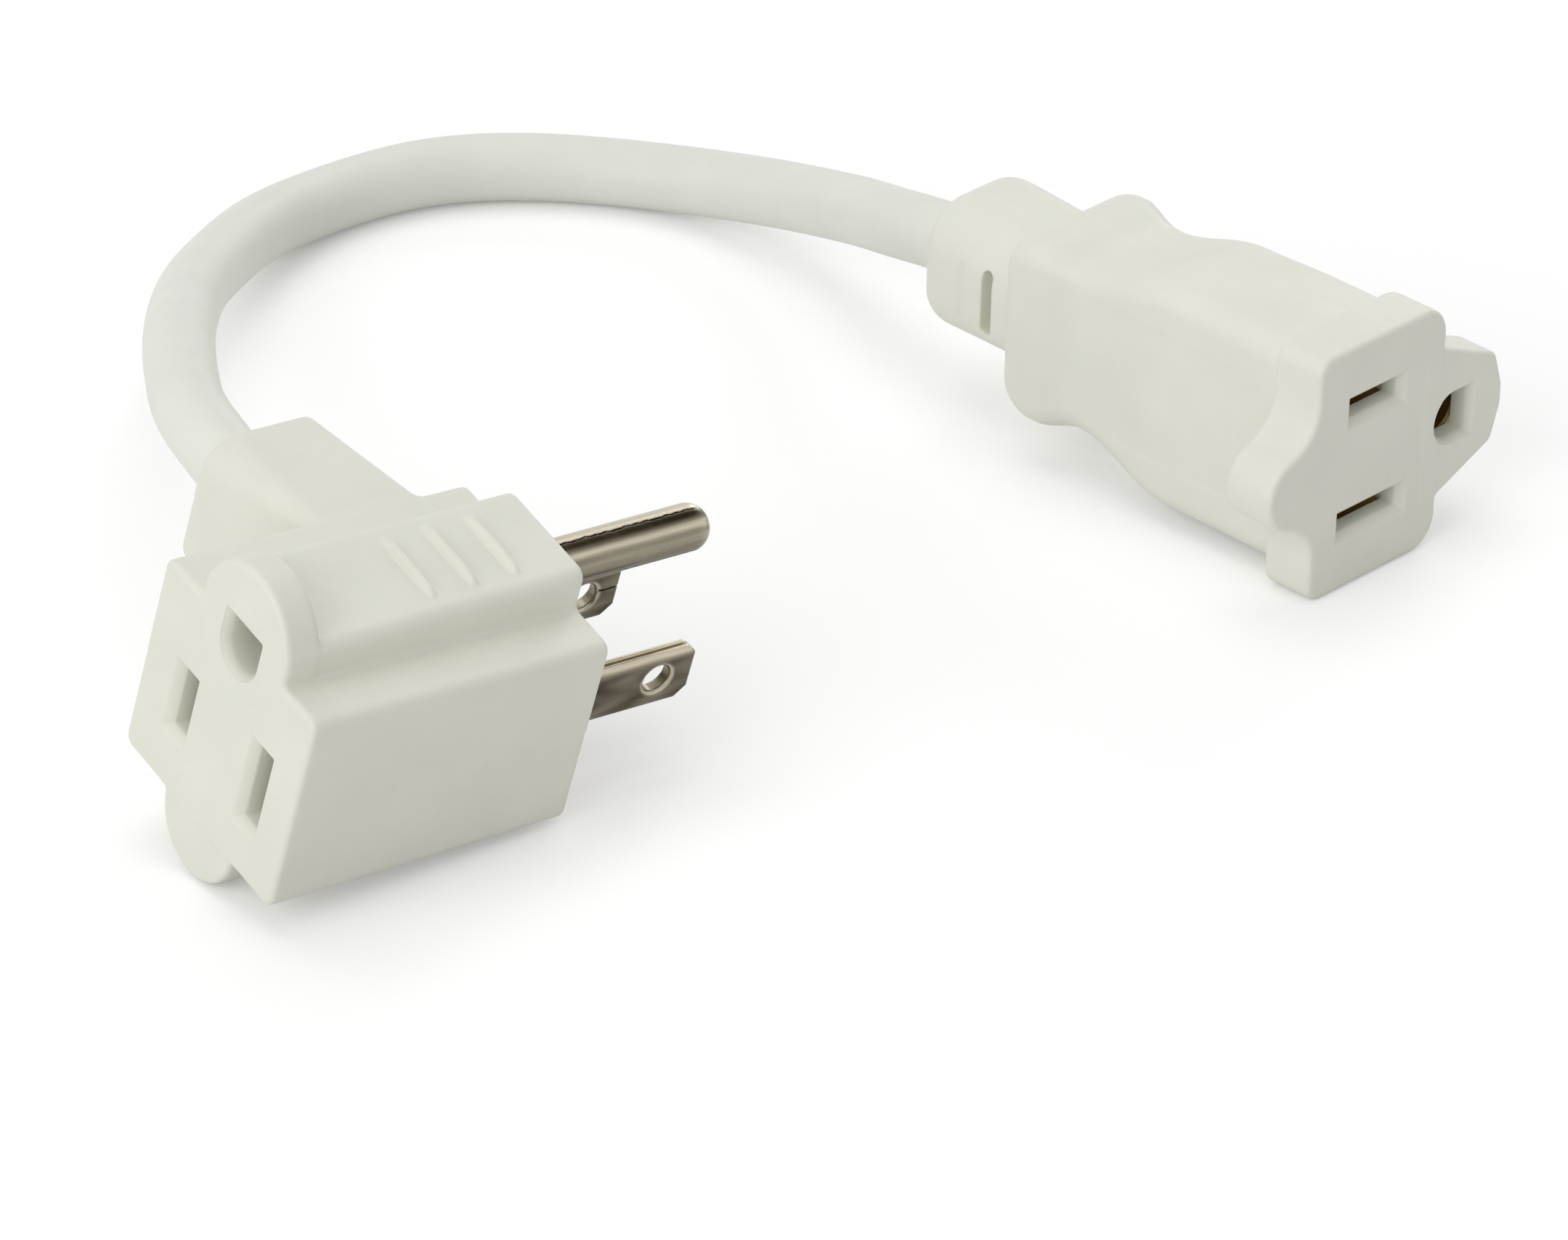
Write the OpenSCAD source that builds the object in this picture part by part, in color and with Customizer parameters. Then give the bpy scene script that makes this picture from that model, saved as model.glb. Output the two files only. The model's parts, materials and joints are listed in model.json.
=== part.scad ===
// Extension cord: a grounded plug with an outlet in its back and a cord arm at its side,
// a three-conductor cord, and a grounded connector with a flared strain relief.
// Millimetres, +Z up. The origin is on the floor, in the middle of the plug's and the
// connector's footprint.

/* [Outlet pattern] */
// Distance between the two blades, centre to centre
blade_pitch = 12.7; // [12.3:0.1:13.1]
// Distance from the line of the blades to the ground pin
ground_offset = 11.9; // [11.5:0.1:12.3]
// Height of a blade
blade_w = 6.35; // [5.9:0.05:6.6]
// Thickness of a blade
blade_t = 1.52; // [1.3:0.02:1.6]
// How far the blades stand out of the plug
blade_reach = 16.2; // [14:0.1:19]
// Diameter of the hole in a blade
blade_hole_d = 4; // [3:0.1:4.4]
// Distance from the plug's rear to the hole in a blade
blade_hole_z = 12.1; // [10.5:0.1:12.5]
// Diameter of the ground pin
pin_d = 4.75; // [4.6:0.05:4.85]
// How far the ground pin stands out of the plug
pin_reach = 19.4; // [18:0.1:22]
// Radius of a ground contact's bore
sleeve_bore_r = 2.45; // [2.44:0.01:2.5]
// Wall of a ground contact's sleeve
sleeve_wall = 0.6; // [0.4:0.05:0.7]
// Depth of a ground contact's sleeve
sleeve_depth = 9.4; // [7:0.1:10]

/* [Slots] */
// Width of a blade slot
slot_t = 2.1; // [1.9:0.05:2.3]
// Height of the hot slot
hot_slot_h = 7; // [6.8:0.1:7.4]
// Height of the neutral slot
neutral_slot_h = 8.7; // [8.3:0.1:8.9]
// Half width of the ground hole
ground_hole_r = 2.55; // [2.52:0.01:2.7]
// How far a slot widens towards the face
lead_in = 0.75; // [0.4:0.05:0.85]
// Depth of the widened mouth
lead_depth = 0.9; // [0.5:0.1:1.4]

/* [Plug body] */
// Distance from the middle to the body's side with the arm
arm_side_w = 13.05; // [12.7:0.05:13.5]
// Distance from the middle to the body's other side
plain_side_w = 12.65; // [12.4:0.05:13]
// Top of the body's sides above the blades
wing_top = 12.9; // [12.6:0.1:13.2]
// Bottom of the body below the blades
wing_bottom = 10.05; // [9.8:0.05:10.4]
// How much the body's lower side narrows towards the blades
draft = 0.4; // [0:0.1:0.5]
// Depth of the body from the outlet face to the blade face
plug_depth = 34; // [33:0.5:36]
// Half width of the raised ground block
block_half_w = 6.9; // [6.4:0.1:7.4]
// Top of the raised ground block above the blades
block_top = 16.7; // [16.5:0.1:17.2]
// Radius of the outlet face's boss round the ground hole
boss_r = 7; // [6.9:0.05:7.4]
// Height of that boss's centre above the blades
boss_y = 13.9; // [13.4:0.1:14.4]
// Radius of the foot below the outlet face
foot_r = 5.8; // [5.4:0.1:6.2]
// Distance of the foot's centre below the blades
foot_y = 9.9; // [9.5:0.1:10.3]
// Depth of the boss and of the foot
flange_depth = 4; // [3:0.1:5]
// Thickness of the outlet faces
face_wall = 2.5; // [2.2:0.1:2.7]
// Length of a grip rib
rib_length = 8.5; // [6:0.1:10]
// Width of a grip rib
rib_w = 0.9; // [0.6:0.1:1.4]
// Height of a grip rib
rib_h = 0.5; // [0.3:0.05:0.8]
// Distance between grip ribs
rib_pitch = 4.75; // [3:0.05:5]

/* [Plug arm] */
// Distance from the plug's middle to the end of the arm
arm_end = 31; // [30:0.1:33]
// Width of the arm along the plug's depth
arm_w = 12.5; // [12.2:0.1:13]
// Distance from the outlet face to the middle of the arm
arm_z = 22.6; // [22.4:0.1:22.8]
// Height of the arm's end
arm_end_h = 14.3; // [13.8:0.1:14.8]
// Height of the arm's middle above the blades, at its end
arm_y = 1.2; // [1:0.1:1.4]
// Radius of the upper front edge at the arm's end
arm_round = 4.2; // [3:0.1:5]

/* [Connector] */
// Half height of the connector's collar
collar_half_v = 13.65; // [13.3:0.05:14]
// Reach of the collar on the ground side
collar_ground_u = 10.1; // [9.8:0.1:10.5]
// Reach of the collar on the other side
collar_plain_u = 8.9; // [8.6:0.1:9.2]
// Reach of the rounded bulge on that side
bulge_reach = 15.5; // [15:0.1:16]
// Radius of the bulge
bulge_r = 4.1; // [3.8:0.1:4.3]
// Radius of the hollows beside the bulge
dip_r = 5.1; // [4.8:0.1:5.4]
// Depth of the collar
collar_depth = 6.2; // [6:0.1:7.5]
// Reach of the nose round the ground hole
nose_reach = 19.35; // [19.1:0.05:20]
// Depth of the nose
nose_depth = 5.2; // [4.5:0.1:5.8]
// Half height of the grip
grip_half_v = 12.75; // [12.5:0.05:13]
// Reach of the grip on the plain side
grip_plain_u = 7.3; // [7.1:0.05:7.6]
// Reach of the grip on the ground side, beside the collar
grip_ground_u = 8.8; // [8.6:0.1:9.6]
// Reach of the grip on the ground side, behind the ridge
neck_ground_u = 8.4; // [8.3:0.1:8.9]
// Half height of the waist
waist_half_v = 9.7; // [9.4:0.05:10]
// Reach of the waist on the plain side
waist_plain_u = 6.2; // [6:0.05:6.6]
// Distance from the face to the waist
waist_z = 35; // [34.5:0.5:36.5]
// Half height of the flare behind the waist
flare_half_v = 10.5; // [10.2:0.1:10.8]
// Reach of the flare on the plain side
flare_plain_u = 7.45; // [7.2:0.05:7.7]
// Reach of the flare on the ground side
flare_ground_u = 10.5; // [10.2:0.1:10.8]
// Distance from the face to the end of the flare
flare_end = 45; // [44:0.5:46]
// Thickness of the ridge over the ground contact
ridge_wall = 1.1; // [0.9:0.05:1.4]
// How far beside the connector's middle the cord leaves it
cord_u = 2.4; // [2:0.1:2.7]
// Half width of the strain relief
relief_half = 6.8; // [6.3:0.1:7.2]
// How much the strain relief widens upwards and to the ground side
relief_flare = 0.45; // [0:0.05:0.6]
// Distance from the face to the end of the strain relief
relief_end = 59.3; // [57:0.1:61]

/* [Cord] */
// Diameter of the cord
cord_d = 7.4; // [7.3:0.05:7.6]
// Diameter of a conductor with its insulation
wire_d = 2.64; // [2.4:0.02:2.64]
// Diameter of a bare copper conductor
copper_d = 1.2; // [1:0.05:1.4]
// Diameter of a filler strand
filler_d = 0.9; // [0.6:0.05:1]

/* [Resting places] */
// Where the plug's outlet face lies, along X
plug_x = -71.84; // [-75:0.01:-70]
// Where the plug's outlet face lies, along Y
plug_y = -10.36; // [-12:0.01:-8]
// How far the plug leans over its side
plug_lean = 15.8; // [15:0.1:17]
// How far the plug's blades point down
plug_tilt = 4.3; // [3:0.1:5]
// Where the connector's face lies, along X
conn_x = 53.86; // [52:0.01:55]
// Where the connector's face lies, along Y
conn_y = -28.76; // [-30:0.01:-28]
// How far the connector is turned towards the plug
conn_turn = 8; // [6:0.5:10]
// How far the connector's cord end is lifted
conn_lift = 1.9; // [1.5:0.1:2.3]

/* [Hidden] */

// Points of the cord on its way from the plug's arm to the connector
ROUTE = [
    [-48.2, 24.2, 24.8], [-46.2, 31.6, 25], [-42.6, 38.6, 24], [-38.4, 45.6, 22.2],
    [-33.8, 52.8, 20], [-28.3, 60.8, 17.3], [-21.8, 69.6, 14.1], [-14.5, 78.4, 10.8],
    [-5.5, 87.2, 7.6], [4.6, 94.8, 5], [15.2, 98.2, 3.7], [26, 97.4, 3.7], [35.8, 92.4, 3.7],
    [43.4, 85, 3.7], [48.6, 75.8, 4.5], [50.6, 66, 6.6], [50.2, 56.4, 9.5],
    [48.6, 47, 12.6], [47.2, 39, 14.8]
];

$fn = 64;
// Play between parts that are moulded or pressed round each other
fit = 0.05;
// How far a cutting shape runs past the face that it cuts
past = 0.5;

ivory = [0.87, 0.87, 0.84];
liner = [0.78, 0.76, 0.7];
nickel = [0.78, 0.76, 0.72];
brass = [0.8, 0.66, 0.36];
copper = [0.8, 0.45, 0.28];
fibre = [0.88, 0.85, 0.75];

blade_x = blade_pitch / 2;
pin_r = pin_d / 2;
cord_r = cord_d / 2;
wire_r = wire_d / 2;
copper_r = copper_d / 2;
copper_bore_r = copper_r + fit;

// Edges and corners
edge = 0.8;
wing_corner = 1.2;
block_corner = 1.3;
inner_corner = 0.6;
arm_corner = 1.4;
lip = 0.1;

// How the cord's conductors lie in its jacket
lay_r = wire_d / sqrt(3) + 0.035;
jacket_sides = 12;
wire_sides = 8;
jacket_bore_r = (lay_r + wire_r + 0.02) / cos(180 / jacket_sides);
filler_lay = 2.2;
spread_y = arm_y - lay_r / 2;
spread_z = lay_r * sin(60);

// Plug: hollow for the inner parts
shell_wall = 2.1;
block_wall = 1.1;
core_back = 16;
carrier_depth = 4.5;
carrier_front = plug_depth - carrier_depth;
core_half_w = plain_side_w - shell_wall;
core_top = wing_top - shell_wall;
core_bottom = wing_bottom - shell_wall;
tower_half_w = sleeve_bore_r + sleeve_wall + 1.4;
tower_top = block_top - block_wall;
jacket_start = 17;
bore_r = cord_r + fit;
arm_room = 7.2;
arm_room_z = 3.9;

// Contacts: two leaves on a web, a strap and a crimp barrel
leaf_t = 0.6;
leaf_pinch = 0.6;
leaf_mouth = 1.1;
leaf_back = 0.8;
pocket_play = 0.2;
clip_front = face_wall + 0.2;
hot_clip_w = blade_w;
neutral_clip_w = neutral_slot_h - 0.7;
plug_clip_back = 14.8;
barrel_r = 1.25;
barrel_bore_r = copper_r + fit;
barrel_length = 5.5;
crimp_gap = 0.3;
tail_front = 25;
strap_x = blade_x + blade_t / 2 + fit;
strap_end = carrier_front - 0.2;
strap_half_w = 1.5;
hot_barrel = [0, spread_y, arm_z + spread_z];
neutral_barrel = [0, -5.6, 20];
sleeve_r = sleeve_bore_r + sleeve_wall;
sleeve_front = face_wall + 0.1;
ground_strap_top = ground_offset - sleeve_bore_r - fit;
ground_strap_bottom = ground_strap_top - leaf_t;
ground_barrel = [-1.5, ground_strap_bottom - barrel_r + 0.15, 20];

// Connector: hollow for the inner parts, as reach along u (ground side), v and z
conn_core_back = 16;
conn_core_plain_u = 5.6;
conn_core_ground_u = 6.4;
conn_core_half_v = grip_half_v - 2.2;
conn_tower_u = ground_offset + sleeve_r + 0.55;
conn_tower_half_v = sleeve_r + 1.1;
ridge_reach = conn_tower_u + ridge_wall;
conn_clip_back = 13.6;
conn_barrel_end = conn_clip_back + 5.5;
conn_strap_u = ground_offset - sleeve_r;
conn_ground_barrel_u = conn_strap_u - barrel_r + 0.15;
conn_ground_barrel_z = 11.5;
chamber_plain_u = -1.9;
chamber_ground_u = 6;
jacket_end_z = 46;
slit_z = 49.3;
groove_z = 52.8;
slit_v = 0.4;

/* ---------- lists and vectors ---------- */

function unit(v) = v / norm(v);

function arc(centre, r, from, to, steps) =
    [for (i = [0:steps]) centre + r * [cos(from + (to - from) * i / steps),
                                       sin(from + (to - from) * i / steps)]];

// Points of the rounded corner q between its neighbours p and s
function corner(p, q, s, r, steps = 5) =
    let (
        back = unit(p - q),
        ahead = unit(s - q),
        half = acos(back * ahead) / 2,
        centre = q + unit(back + ahead) * r / sin(half),
        first = q + back * r / tan(half) - centre,
        side = back.x * ahead.y - back.y * ahead.x > 0 ? -1 : 1,
        sweep = side * (180 - 2 * half)
    )
    [for (i = [0:steps])
        let (a = sweep * i / steps)
        centre + [first.x * cos(a) - first.y * sin(a), first.x * sin(a) + first.y * cos(a)]];

// Outline through corners that are each given as [x, y, radius]
function rounded(corners, steps = 5) =
    let (n = len(corners))
    [for (i = [0:n - 1])
        let (
            p = corners[(i + n - 1) % n],
            q = corners[i],
            s = corners[(i + 1) % n]
        )
        each corner([p.x, p.y], [q.x, q.y], [s.x, s.y], q.z, steps)];

function box_outline(x0, x1, y0, y1, r, steps = 5) =
    rounded([[x1, y0, r], [x1, y1, r], [x0, y1, r], [x0, y0, r]], steps);

// The same outline moved inwards
function inset(outline, d) =
    let (n = len(outline))
    [for (i = [0:n - 1])
        let (
            a = unit(outline[i] - outline[(i + n - 1) % n]),
            b = unit(outline[(i + 1) % n] - outline[i]),
            na = [a.y, -a.x],
            nb = [b.y, -b.x]
        )
        outline[i] - d * (na + nb) / (1 + na * nb)];

function raise(outline, z) = [for (p = outline) [p.x, p.y, z]];

function mix(a, b, t) = a + (b - a) * t;

function ease(t) = (1 - cos(180 * t)) / 2;

// Solid through rings with the same number of points
module loft(rings) {
    n = len(rings[0]);
    m = len(rings);
    polyhedron(
        points = [for (ring = rings) each ring],
        faces = concat(
            [[for (i = [0:n - 1]) i]],
            [[for (i = [n - 1:-1:0]) (m - 1) * n + i]],
            [for (k = [0:m - 2], i = [0:n - 1])
                let (j = (i + 1) % n)
                each [[k * n + i, (k + 1) * n + i, (k + 1) * n + j],
                      [k * n + i, (k + 1) * n + j, k * n + j]]]
        ),
        convexity = 8
    );
}

// Plate with softened edges that goes from one outline to another
module soft_plate(front, back, depth, soft) {
    loft([
        raise(inset(front, soft), 0),
        raise(inset(front, soft * 0.35), soft * 0.3),
        raise(front, soft),
        raise(back, depth - soft),
        raise(inset(back, soft * 0.35), depth - soft * 0.3),
        raise(inset(back, soft), depth)
    ]);
}

// Plate with softened edges over an outline without hollows
module soft_block(outline, depth, soft) {
    hull()
        for (s = [[0, soft], [soft * 0.3, soft * 0.35], [soft, 0]])
            translate([0, 0, s[0]])
                linear_extrude(depth - 2 * s[0])
                    polygon(inset(outline, s[1]));
}

/* ---------- sweeps ---------- */

function tangent(path, i) =
    i == 0 ? unit(path[1] - path[0])
    : i == len(path) - 1 ? unit(path[i] - path[i - 1])
    : unit(unit(path[i] - path[i - 1]) + unit(path[i + 1] - path[i]));

function square_to(v, t) = unit(v - t * (v * t));

// Directions square to the path, carried along it without twist
function normals(path, first) =
    [for (i = 0, n = square_to(first, tangent(path, 0));
          i < len(path);
          i = i + 1, n = i < len(path) ? square_to(n, tangent(path, i)) : n) n];

function ring(path, sides, r, frame) =
    [for (i = [0:len(path) - 1])
        let (b = cross(tangent(path, i), frame[i]))
        [for (k = [0:sides - 1])
            let (a = 360 * k / sides)
            path[i] + r * (cos(a) * frame[i] + sin(a) * b)]];

module rod(path, r, sides, first) {
    loft(ring(path, sides, r, normals(path, first)));
}

module tube(path, r, bore, sides, first) {
    frame = normals(path, first);
    outer = ring(path, sides, r, frame);
    inner = ring(path, sides, bore, frame);
    n = sides;
    m = len(path);
    base = n * m;
    end = (m - 1) * n;
    polyhedron(
        points = concat([for (p = outer) each p], [for (p = inner) each p]),
        faces = concat(
            [for (k = [0:m - 2], i = [0:n - 1])
                let (j = (i + 1) % n)
                each [[k * n + i, (k + 1) * n + i, (k + 1) * n + j],
                      [k * n + i, (k + 1) * n + j, k * n + j],
                      [base + k * n + i, base + (k + 1) * n + j, base + (k + 1) * n + i],
                      [base + k * n + i, base + k * n + j, base + (k + 1) * n + j]]],
            [for (i = [0:n - 1])
                let (j = (i + 1) % n)
                each [[i, j, base + j],
                      [i, base + j, base + i],
                      [end + i, base + end + j, end + j],
                      [end + i, base + end + i, base + end + j]]]
        ),
        convexity = 10
    );
}

/* ---------- where the plug and the connector lie ---------- */

function turn_x(p, a) = [p.x, p.y * cos(a) - p.z * sin(a), p.y * sin(a) + p.z * cos(a)];
function turn_y(p, a) = [p.x * cos(a) + p.z * sin(a), p.y, -p.x * sin(a) + p.z * cos(a)];
function turn_z(p, a) = [p.x * cos(a) - p.y * sin(a), p.x * sin(a) + p.y * cos(a), p.z];

// The plug rests on its foot
foot_drop = foot_y * cos(plug_lean) + foot_r;
foot_z = flange_depth - edge / 2;
plug_height = foot_drop * cos(plug_tilt) + foot_z * sin(plug_tilt);

// The connector rests on the lower front edge of its collar
conn_height = collar_half_v * cos(conn_lift) - edge * sin(conn_lift);

function plug_turn(p) = turn_y(turn_x([p.z, p.x, p.y], plug_lean), plug_tilt);
function plug_point(p) = [plug_x, plug_y, plug_height] + plug_turn(p);
function conn_turned(p) = turn_z(turn_x([p.x, p.z, -p.y], conn_lift), conn_turn);
function conn_point(p) = [conn_x, conn_y, conn_height] + conn_turned(p);

// Plug frame: x along the blades' row towards the arm, y towards the ground pin, z from the
// outlet face to the blade face
module place_plug() {
    translate([plug_x, plug_y, plug_height])
        rotate([plug_lean, plug_tilt, 0])
            rotate([90, 0, 90])
                children();
}

// Connector frame: x towards the ground hole, y down, z from the face to the cord
module place_connector() {
    translate([conn_x, conn_y, conn_height])
        rotate([conn_lift, 0, conn_turn])
            rotate([-90, 0, 0])
                children();
}

/* ---------- the cord's path ---------- */

jacket_path = concat(
    [for (x = [jacket_start, (jacket_start + arm_end) / 2, arm_end])
        plug_point([x, arm_y, arm_z])],
    ROUTE,
    [for (z = [relief_end, (relief_end + jacket_end_z) / 2, jacket_end_z])
        conn_point([cord_u, 0, z])]
);
up = plug_turn([0, 1, 0]);
jacket_frame = normals(jacket_path, up);
last = len(jacket_path) - 1;

// The twist that brings the ground conductor to the connector's ground side
end_normal = jacket_frame[last];
end_side = conn_turned([1, 0, 0]);
end_cross = cross(tangent(jacket_path, last), end_normal);
twist = atan2(end_side * end_cross, end_side * end_normal);

// Path of a strand that lies at a distance from the cord's axis
function strand(r, angle) =
    [for (i = [0:last])
        let (
            a = angle + twist * i / last,
            b = cross(tangent(jacket_path, i), jacket_frame[i])
        )
        jacket_path[i] + r * (cos(a) * jacket_frame[i] + sin(a) * b)];

hot_angle = 120;
neutral_angle = -120;
ground_angle = 0;

// Where each conductor leaves its crimp barrel in the plug, up to the jacket
hot_wire_start = strap_x + leaf_t + barrel_length + crimp_gap;
neutral_wire_start = -strap_x + barrel_length + crimp_gap;
ground_wire_start = ground_barrel.x + barrel_length + crimp_gap;

plug_hot_run = [
    [hot_wire_start, hot_barrel.y, hot_barrel.z],
    [hot_wire_start + 1, hot_barrel.y, hot_barrel.z]
];
plug_neutral_run = [
    [neutral_wire_start, neutral_barrel.y, neutral_barrel.z],
    [neutral_wire_start + 1, neutral_barrel.y, neutral_barrel.z],
    [blade_x - 0.4, neutral_barrel.y, neutral_barrel.z],
    [blade_x + 2.1, spread_y - 5.1, neutral_barrel.z + 0.2],
    [blade_x + 4.2, spread_y - 2.7, neutral_barrel.z + 0.5],
    [blade_x + 7.2, spread_y - 0.6, arm_z - spread_z - 0.3]
];
plug_ground_run = [
    [ground_wire_start, ground_barrel.y, ground_barrel.z],
    [ground_wire_start + 1, ground_barrel.y, ground_barrel.z],
    [blade_x + 1.7, ground_barrel.y - 0.3, arm_z - 2.3],
    [blade_x + 4.2, arm_y + lay_r + 3.5, arm_z - 1.6],
    [blade_x + 7.2, arm_y + lay_r + 1.4, arm_z - 0.5]
];

// The same in the connector, from the jacket to the crimp barrels
conn_hot_run = [
    [cord_u - 1, -1.8, 37],
    [0.9, -3.6, 31],
    [0.2, 0.8 - blade_x, 25],
    [0, -blade_x, conn_barrel_end + crimp_gap + 1],
    [0, -blade_x, conn_barrel_end + crimp_gap]
];
conn_neutral_run = [for (p = conn_hot_run) [p.x, -p.y, p.z]];
conn_ground_wire_z = conn_ground_barrel_z + barrel_length + crimp_gap;
conn_ground_run = [
    [cord_u + lay_r + 0.3, 0, 34],
    [conn_ground_barrel_u - 2.8, 0, 27.5],
    [conn_ground_barrel_u - 1.4, 0, conn_ground_wire_z + 5.6],
    [conn_ground_barrel_u - 0.4, 0, conn_ground_wire_z + 2.7],
    [conn_ground_barrel_u, 0, conn_ground_wire_z + 1],
    [conn_ground_barrel_u, 0, conn_ground_wire_z]
];

function wire_path(plug_run, angle, conn_run) = concat(
    [for (p = plug_run) plug_point(p)],
    strand(lay_r, angle),
    [for (p = conn_run) conn_point(p)]
);

// The bare ends reach most of the way through the barrels
function bare_path(path) =
    let (
        reach = barrel_length - 0.5 + crimp_gap,
        n = len(path) - 1
    )
    concat(
        [path[0] + reach * unit(path[0] - path[1])],
        path,
        [path[n] + reach * unit(path[n] - path[n - 1])]
    );

hot_path = wire_path(plug_hot_run, hot_angle, conn_hot_run);
neutral_path = wire_path(plug_neutral_run, neutral_angle, conn_neutral_run);
ground_path = wire_path(plug_ground_run, ground_angle, conn_ground_run);

/* ---------- shared shapes ---------- */

// Ground hole: round towards the blades, flat away from them
function ground_outline(r) = concat(arc([0, 0], r, 180, 360, 20), [[r, r - 0.05], [-r, r - 0.05]]);

// Ground hole with its widened mouth, cut from z = 0 upwards
module ground_hole(depth) {
    loft([
        raise(ground_outline(ground_hole_r + lead_in / 2), -lip),
        raise(ground_outline(ground_hole_r), lead_depth),
        raise(ground_outline(ground_hole_r), depth + past)
    ]);
}

// Blade slot with its widened mouth, tall along y
module slot(h, depth) {
    translate([-slot_t / 2, -h / 2, -past])
        cube([slot_t, h, depth + 2 * past]);
    hull() {
        translate([-slot_t / 2 - lead_in, -h / 2 - lead_in, -lip])
            cube([slot_t + 2 * lead_in, h + 2 * lead_in, lip]);
        translate([-slot_t / 2, -h / 2, lead_depth])
            cube([slot_t, h, lip]);
    }
}

// Leaf of a contact as a bent strip in the xz plane
module leaf(w, back) {
    rotate([90, 0, 0])
        linear_extrude(w, center = true)
            polygon([
                [leaf_mouth, clip_front],
                [leaf_mouth + leaf_t, clip_front],
                [leaf_pinch + leaf_t, clip_front + 2.6],
                [leaf_back + leaf_t, back],
                [leaf_back, back],
                [leaf_pinch, clip_front + 2.6]
            ]);
}

// Two leaves joined by a web
module clip(w, back) {
    leaf(w, back);
    mirror([1, 0, 0])
        leaf(w, back);
    translate([-leaf_back - leaf_t, -w / 2, back - leaf_t])
        cube([2 * (leaf_back + leaf_t), w, leaf_t]);
}

// Crimp barrel along +x
module barrel() {
    rotate([0, 90, 0])
        difference() {
            cylinder(r = barrel_r, h = barrel_length);
            translate([0, 0, -past])
                cylinder(r = barrel_bore_r, h = barrel_length + 2 * past);
        }
}

module clip_pocket(w, back) {
    room = leaf_mouth + leaf_t + pocket_play;
    translate([-room, -w / 2 - pocket_play, -past])
        cube([2 * room, w + 2 * pocket_play, back + past]);
}

// Blade with its hole and cut corners, from the tail to the tip along z
module blade() {
    tip_cut = 1.2;
    length = plug_depth - tail_front + blade_reach;
    difference() {
        translate([0, 0, tail_front])
            rotate([90, 0, 90])
                linear_extrude(blade_t, center = true)
                    polygon([
                        [-blade_w / 2, 0],
                        [blade_w / 2, 0],
                        [blade_w / 2, length - tip_cut],
                        [blade_w / 2 - tip_cut, length],
                        [-blade_w / 2 + tip_cut, length],
                        [-blade_w / 2, length - tip_cut]
                    ]);
        translate([-blade_t, 0, plug_depth + blade_hole_z])
            rotate([0, 90, 0])
                cylinder(d = blade_hole_d, h = 2 * blade_t);
        // the fold's groove along the upper edge
        translate([-0.2, blade_w / 2 - 0.3, plug_depth + 0.5])
            cube([0.4, 1, blade_reach]);
    }
}

/* ---------- plug ---------- */

// Outline of the body where it has narrowed by a part of the draft
function body_outline(narrow) =
    let (
        plain = plain_side_w - narrow / 2,
        top = wing_top - 1.5 * narrow,
        bottom = wing_bottom - narrow,
        tower = block_half_w - 0.75 * narrow
    )
    rounded([
        [arm_side_w, -bottom, wing_corner],
        [arm_side_w, top, wing_corner],
        [tower, top, inner_corner],
        [tower, block_top, block_corner],
        [-tower, block_top, block_corner],
        [-tower, top, inner_corner],
        [-plain, top, wing_corner],
        [-plain, -bottom, wing_corner]
    ]);

// Outline of the inner mouldings, shrunk by the fit
module plug_inner(play) {
    translate([-core_half_w - play, -core_bottom - play])
        square([2 * (core_half_w + play), core_bottom + core_top + 2 * play]);
    translate([-tower_half_w - play, 0])
        square([2 * (tower_half_w + play), tower_top + play]);
}

// Section of the arm at a distance from the plug's middle
function arm_section(x, shrink) =
    let (
        t = max((x - arm_side_w) / (arm_end - arm_side_w), 0),
        low = mix(draft - wing_bottom, arm_y - arm_end_h / 2, t) + shrink,
        high = mix(wing_top - 1.5 * draft, arm_y + arm_end_h / 2, t) - shrink,
        half = arm_w / 2 - shrink,
        r = arm_corner - shrink / 2,
        r_front = mix(arm_corner, arm_round, t) - shrink / 2,
        section = rounded([
            [high, arm_z - half, r_front],
            [high, arm_z + half, r],
            [low, arm_z + half, r],
            [low, arm_z - half, r]
        ])
    )
    [for (p = section) [x, p.x, p.y]];

module arm() {
    hull()
        loft([
            arm_section(arm_side_w - 1, 0),
            arm_section(arm_side_w, 0),
            arm_section(arm_end - 1, 0),
            arm_section(arm_end - 0.3, 0.3),
            arm_section(arm_end, 0.9)
        ]);
}

// Grip rib across the ground block
module rib(z) {
    hull()
        for (side = [-1, 1])
            translate([side * (rib_length - rib_w) / 2, block_top + rib_h - rib_w / 2, z])
                sphere(d = rib_w, $fn = 12);
}

module plug_overmold() {
    color(ivory)
        place_plug()
            difference() {
                union() {
                    soft_plate(body_outline(0), body_outline(draft), plug_depth, edge);
                    soft_block(arc([0, boss_y], boss_r, 0, 354, 59), flange_depth, edge);
                    soft_block(arc([0, -foot_y], foot_r, 0, 354, 59), flange_depth, edge);
                    arm();
                    for (i = [-1:1])
                        rib(arm_z + i * rib_pitch);
                }
                translate([0, 0, face_wall])
                    linear_extrude(plug_depth)
                        plug_inner(fit);
                translate([blade_x, 0, 0])
                    slot(hot_slot_h, face_wall);
                translate([-blade_x, 0, 0])
                    slot(neutral_slot_h, face_wall);
                translate([0, ground_offset, 0])
                    ground_hole(face_wall);
                translate([0, arm_y - arm_room, arm_z - arm_room_z])
                    cube([jacket_start - lip, 2 * arm_room, 2 * arm_room_z]);
                translate([jacket_start - 2 * lip, arm_y, arm_z])
                    rotate([0, 90, 0])
                        cylinder(r = bore_r, h = arm_end);
            }
}

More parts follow.
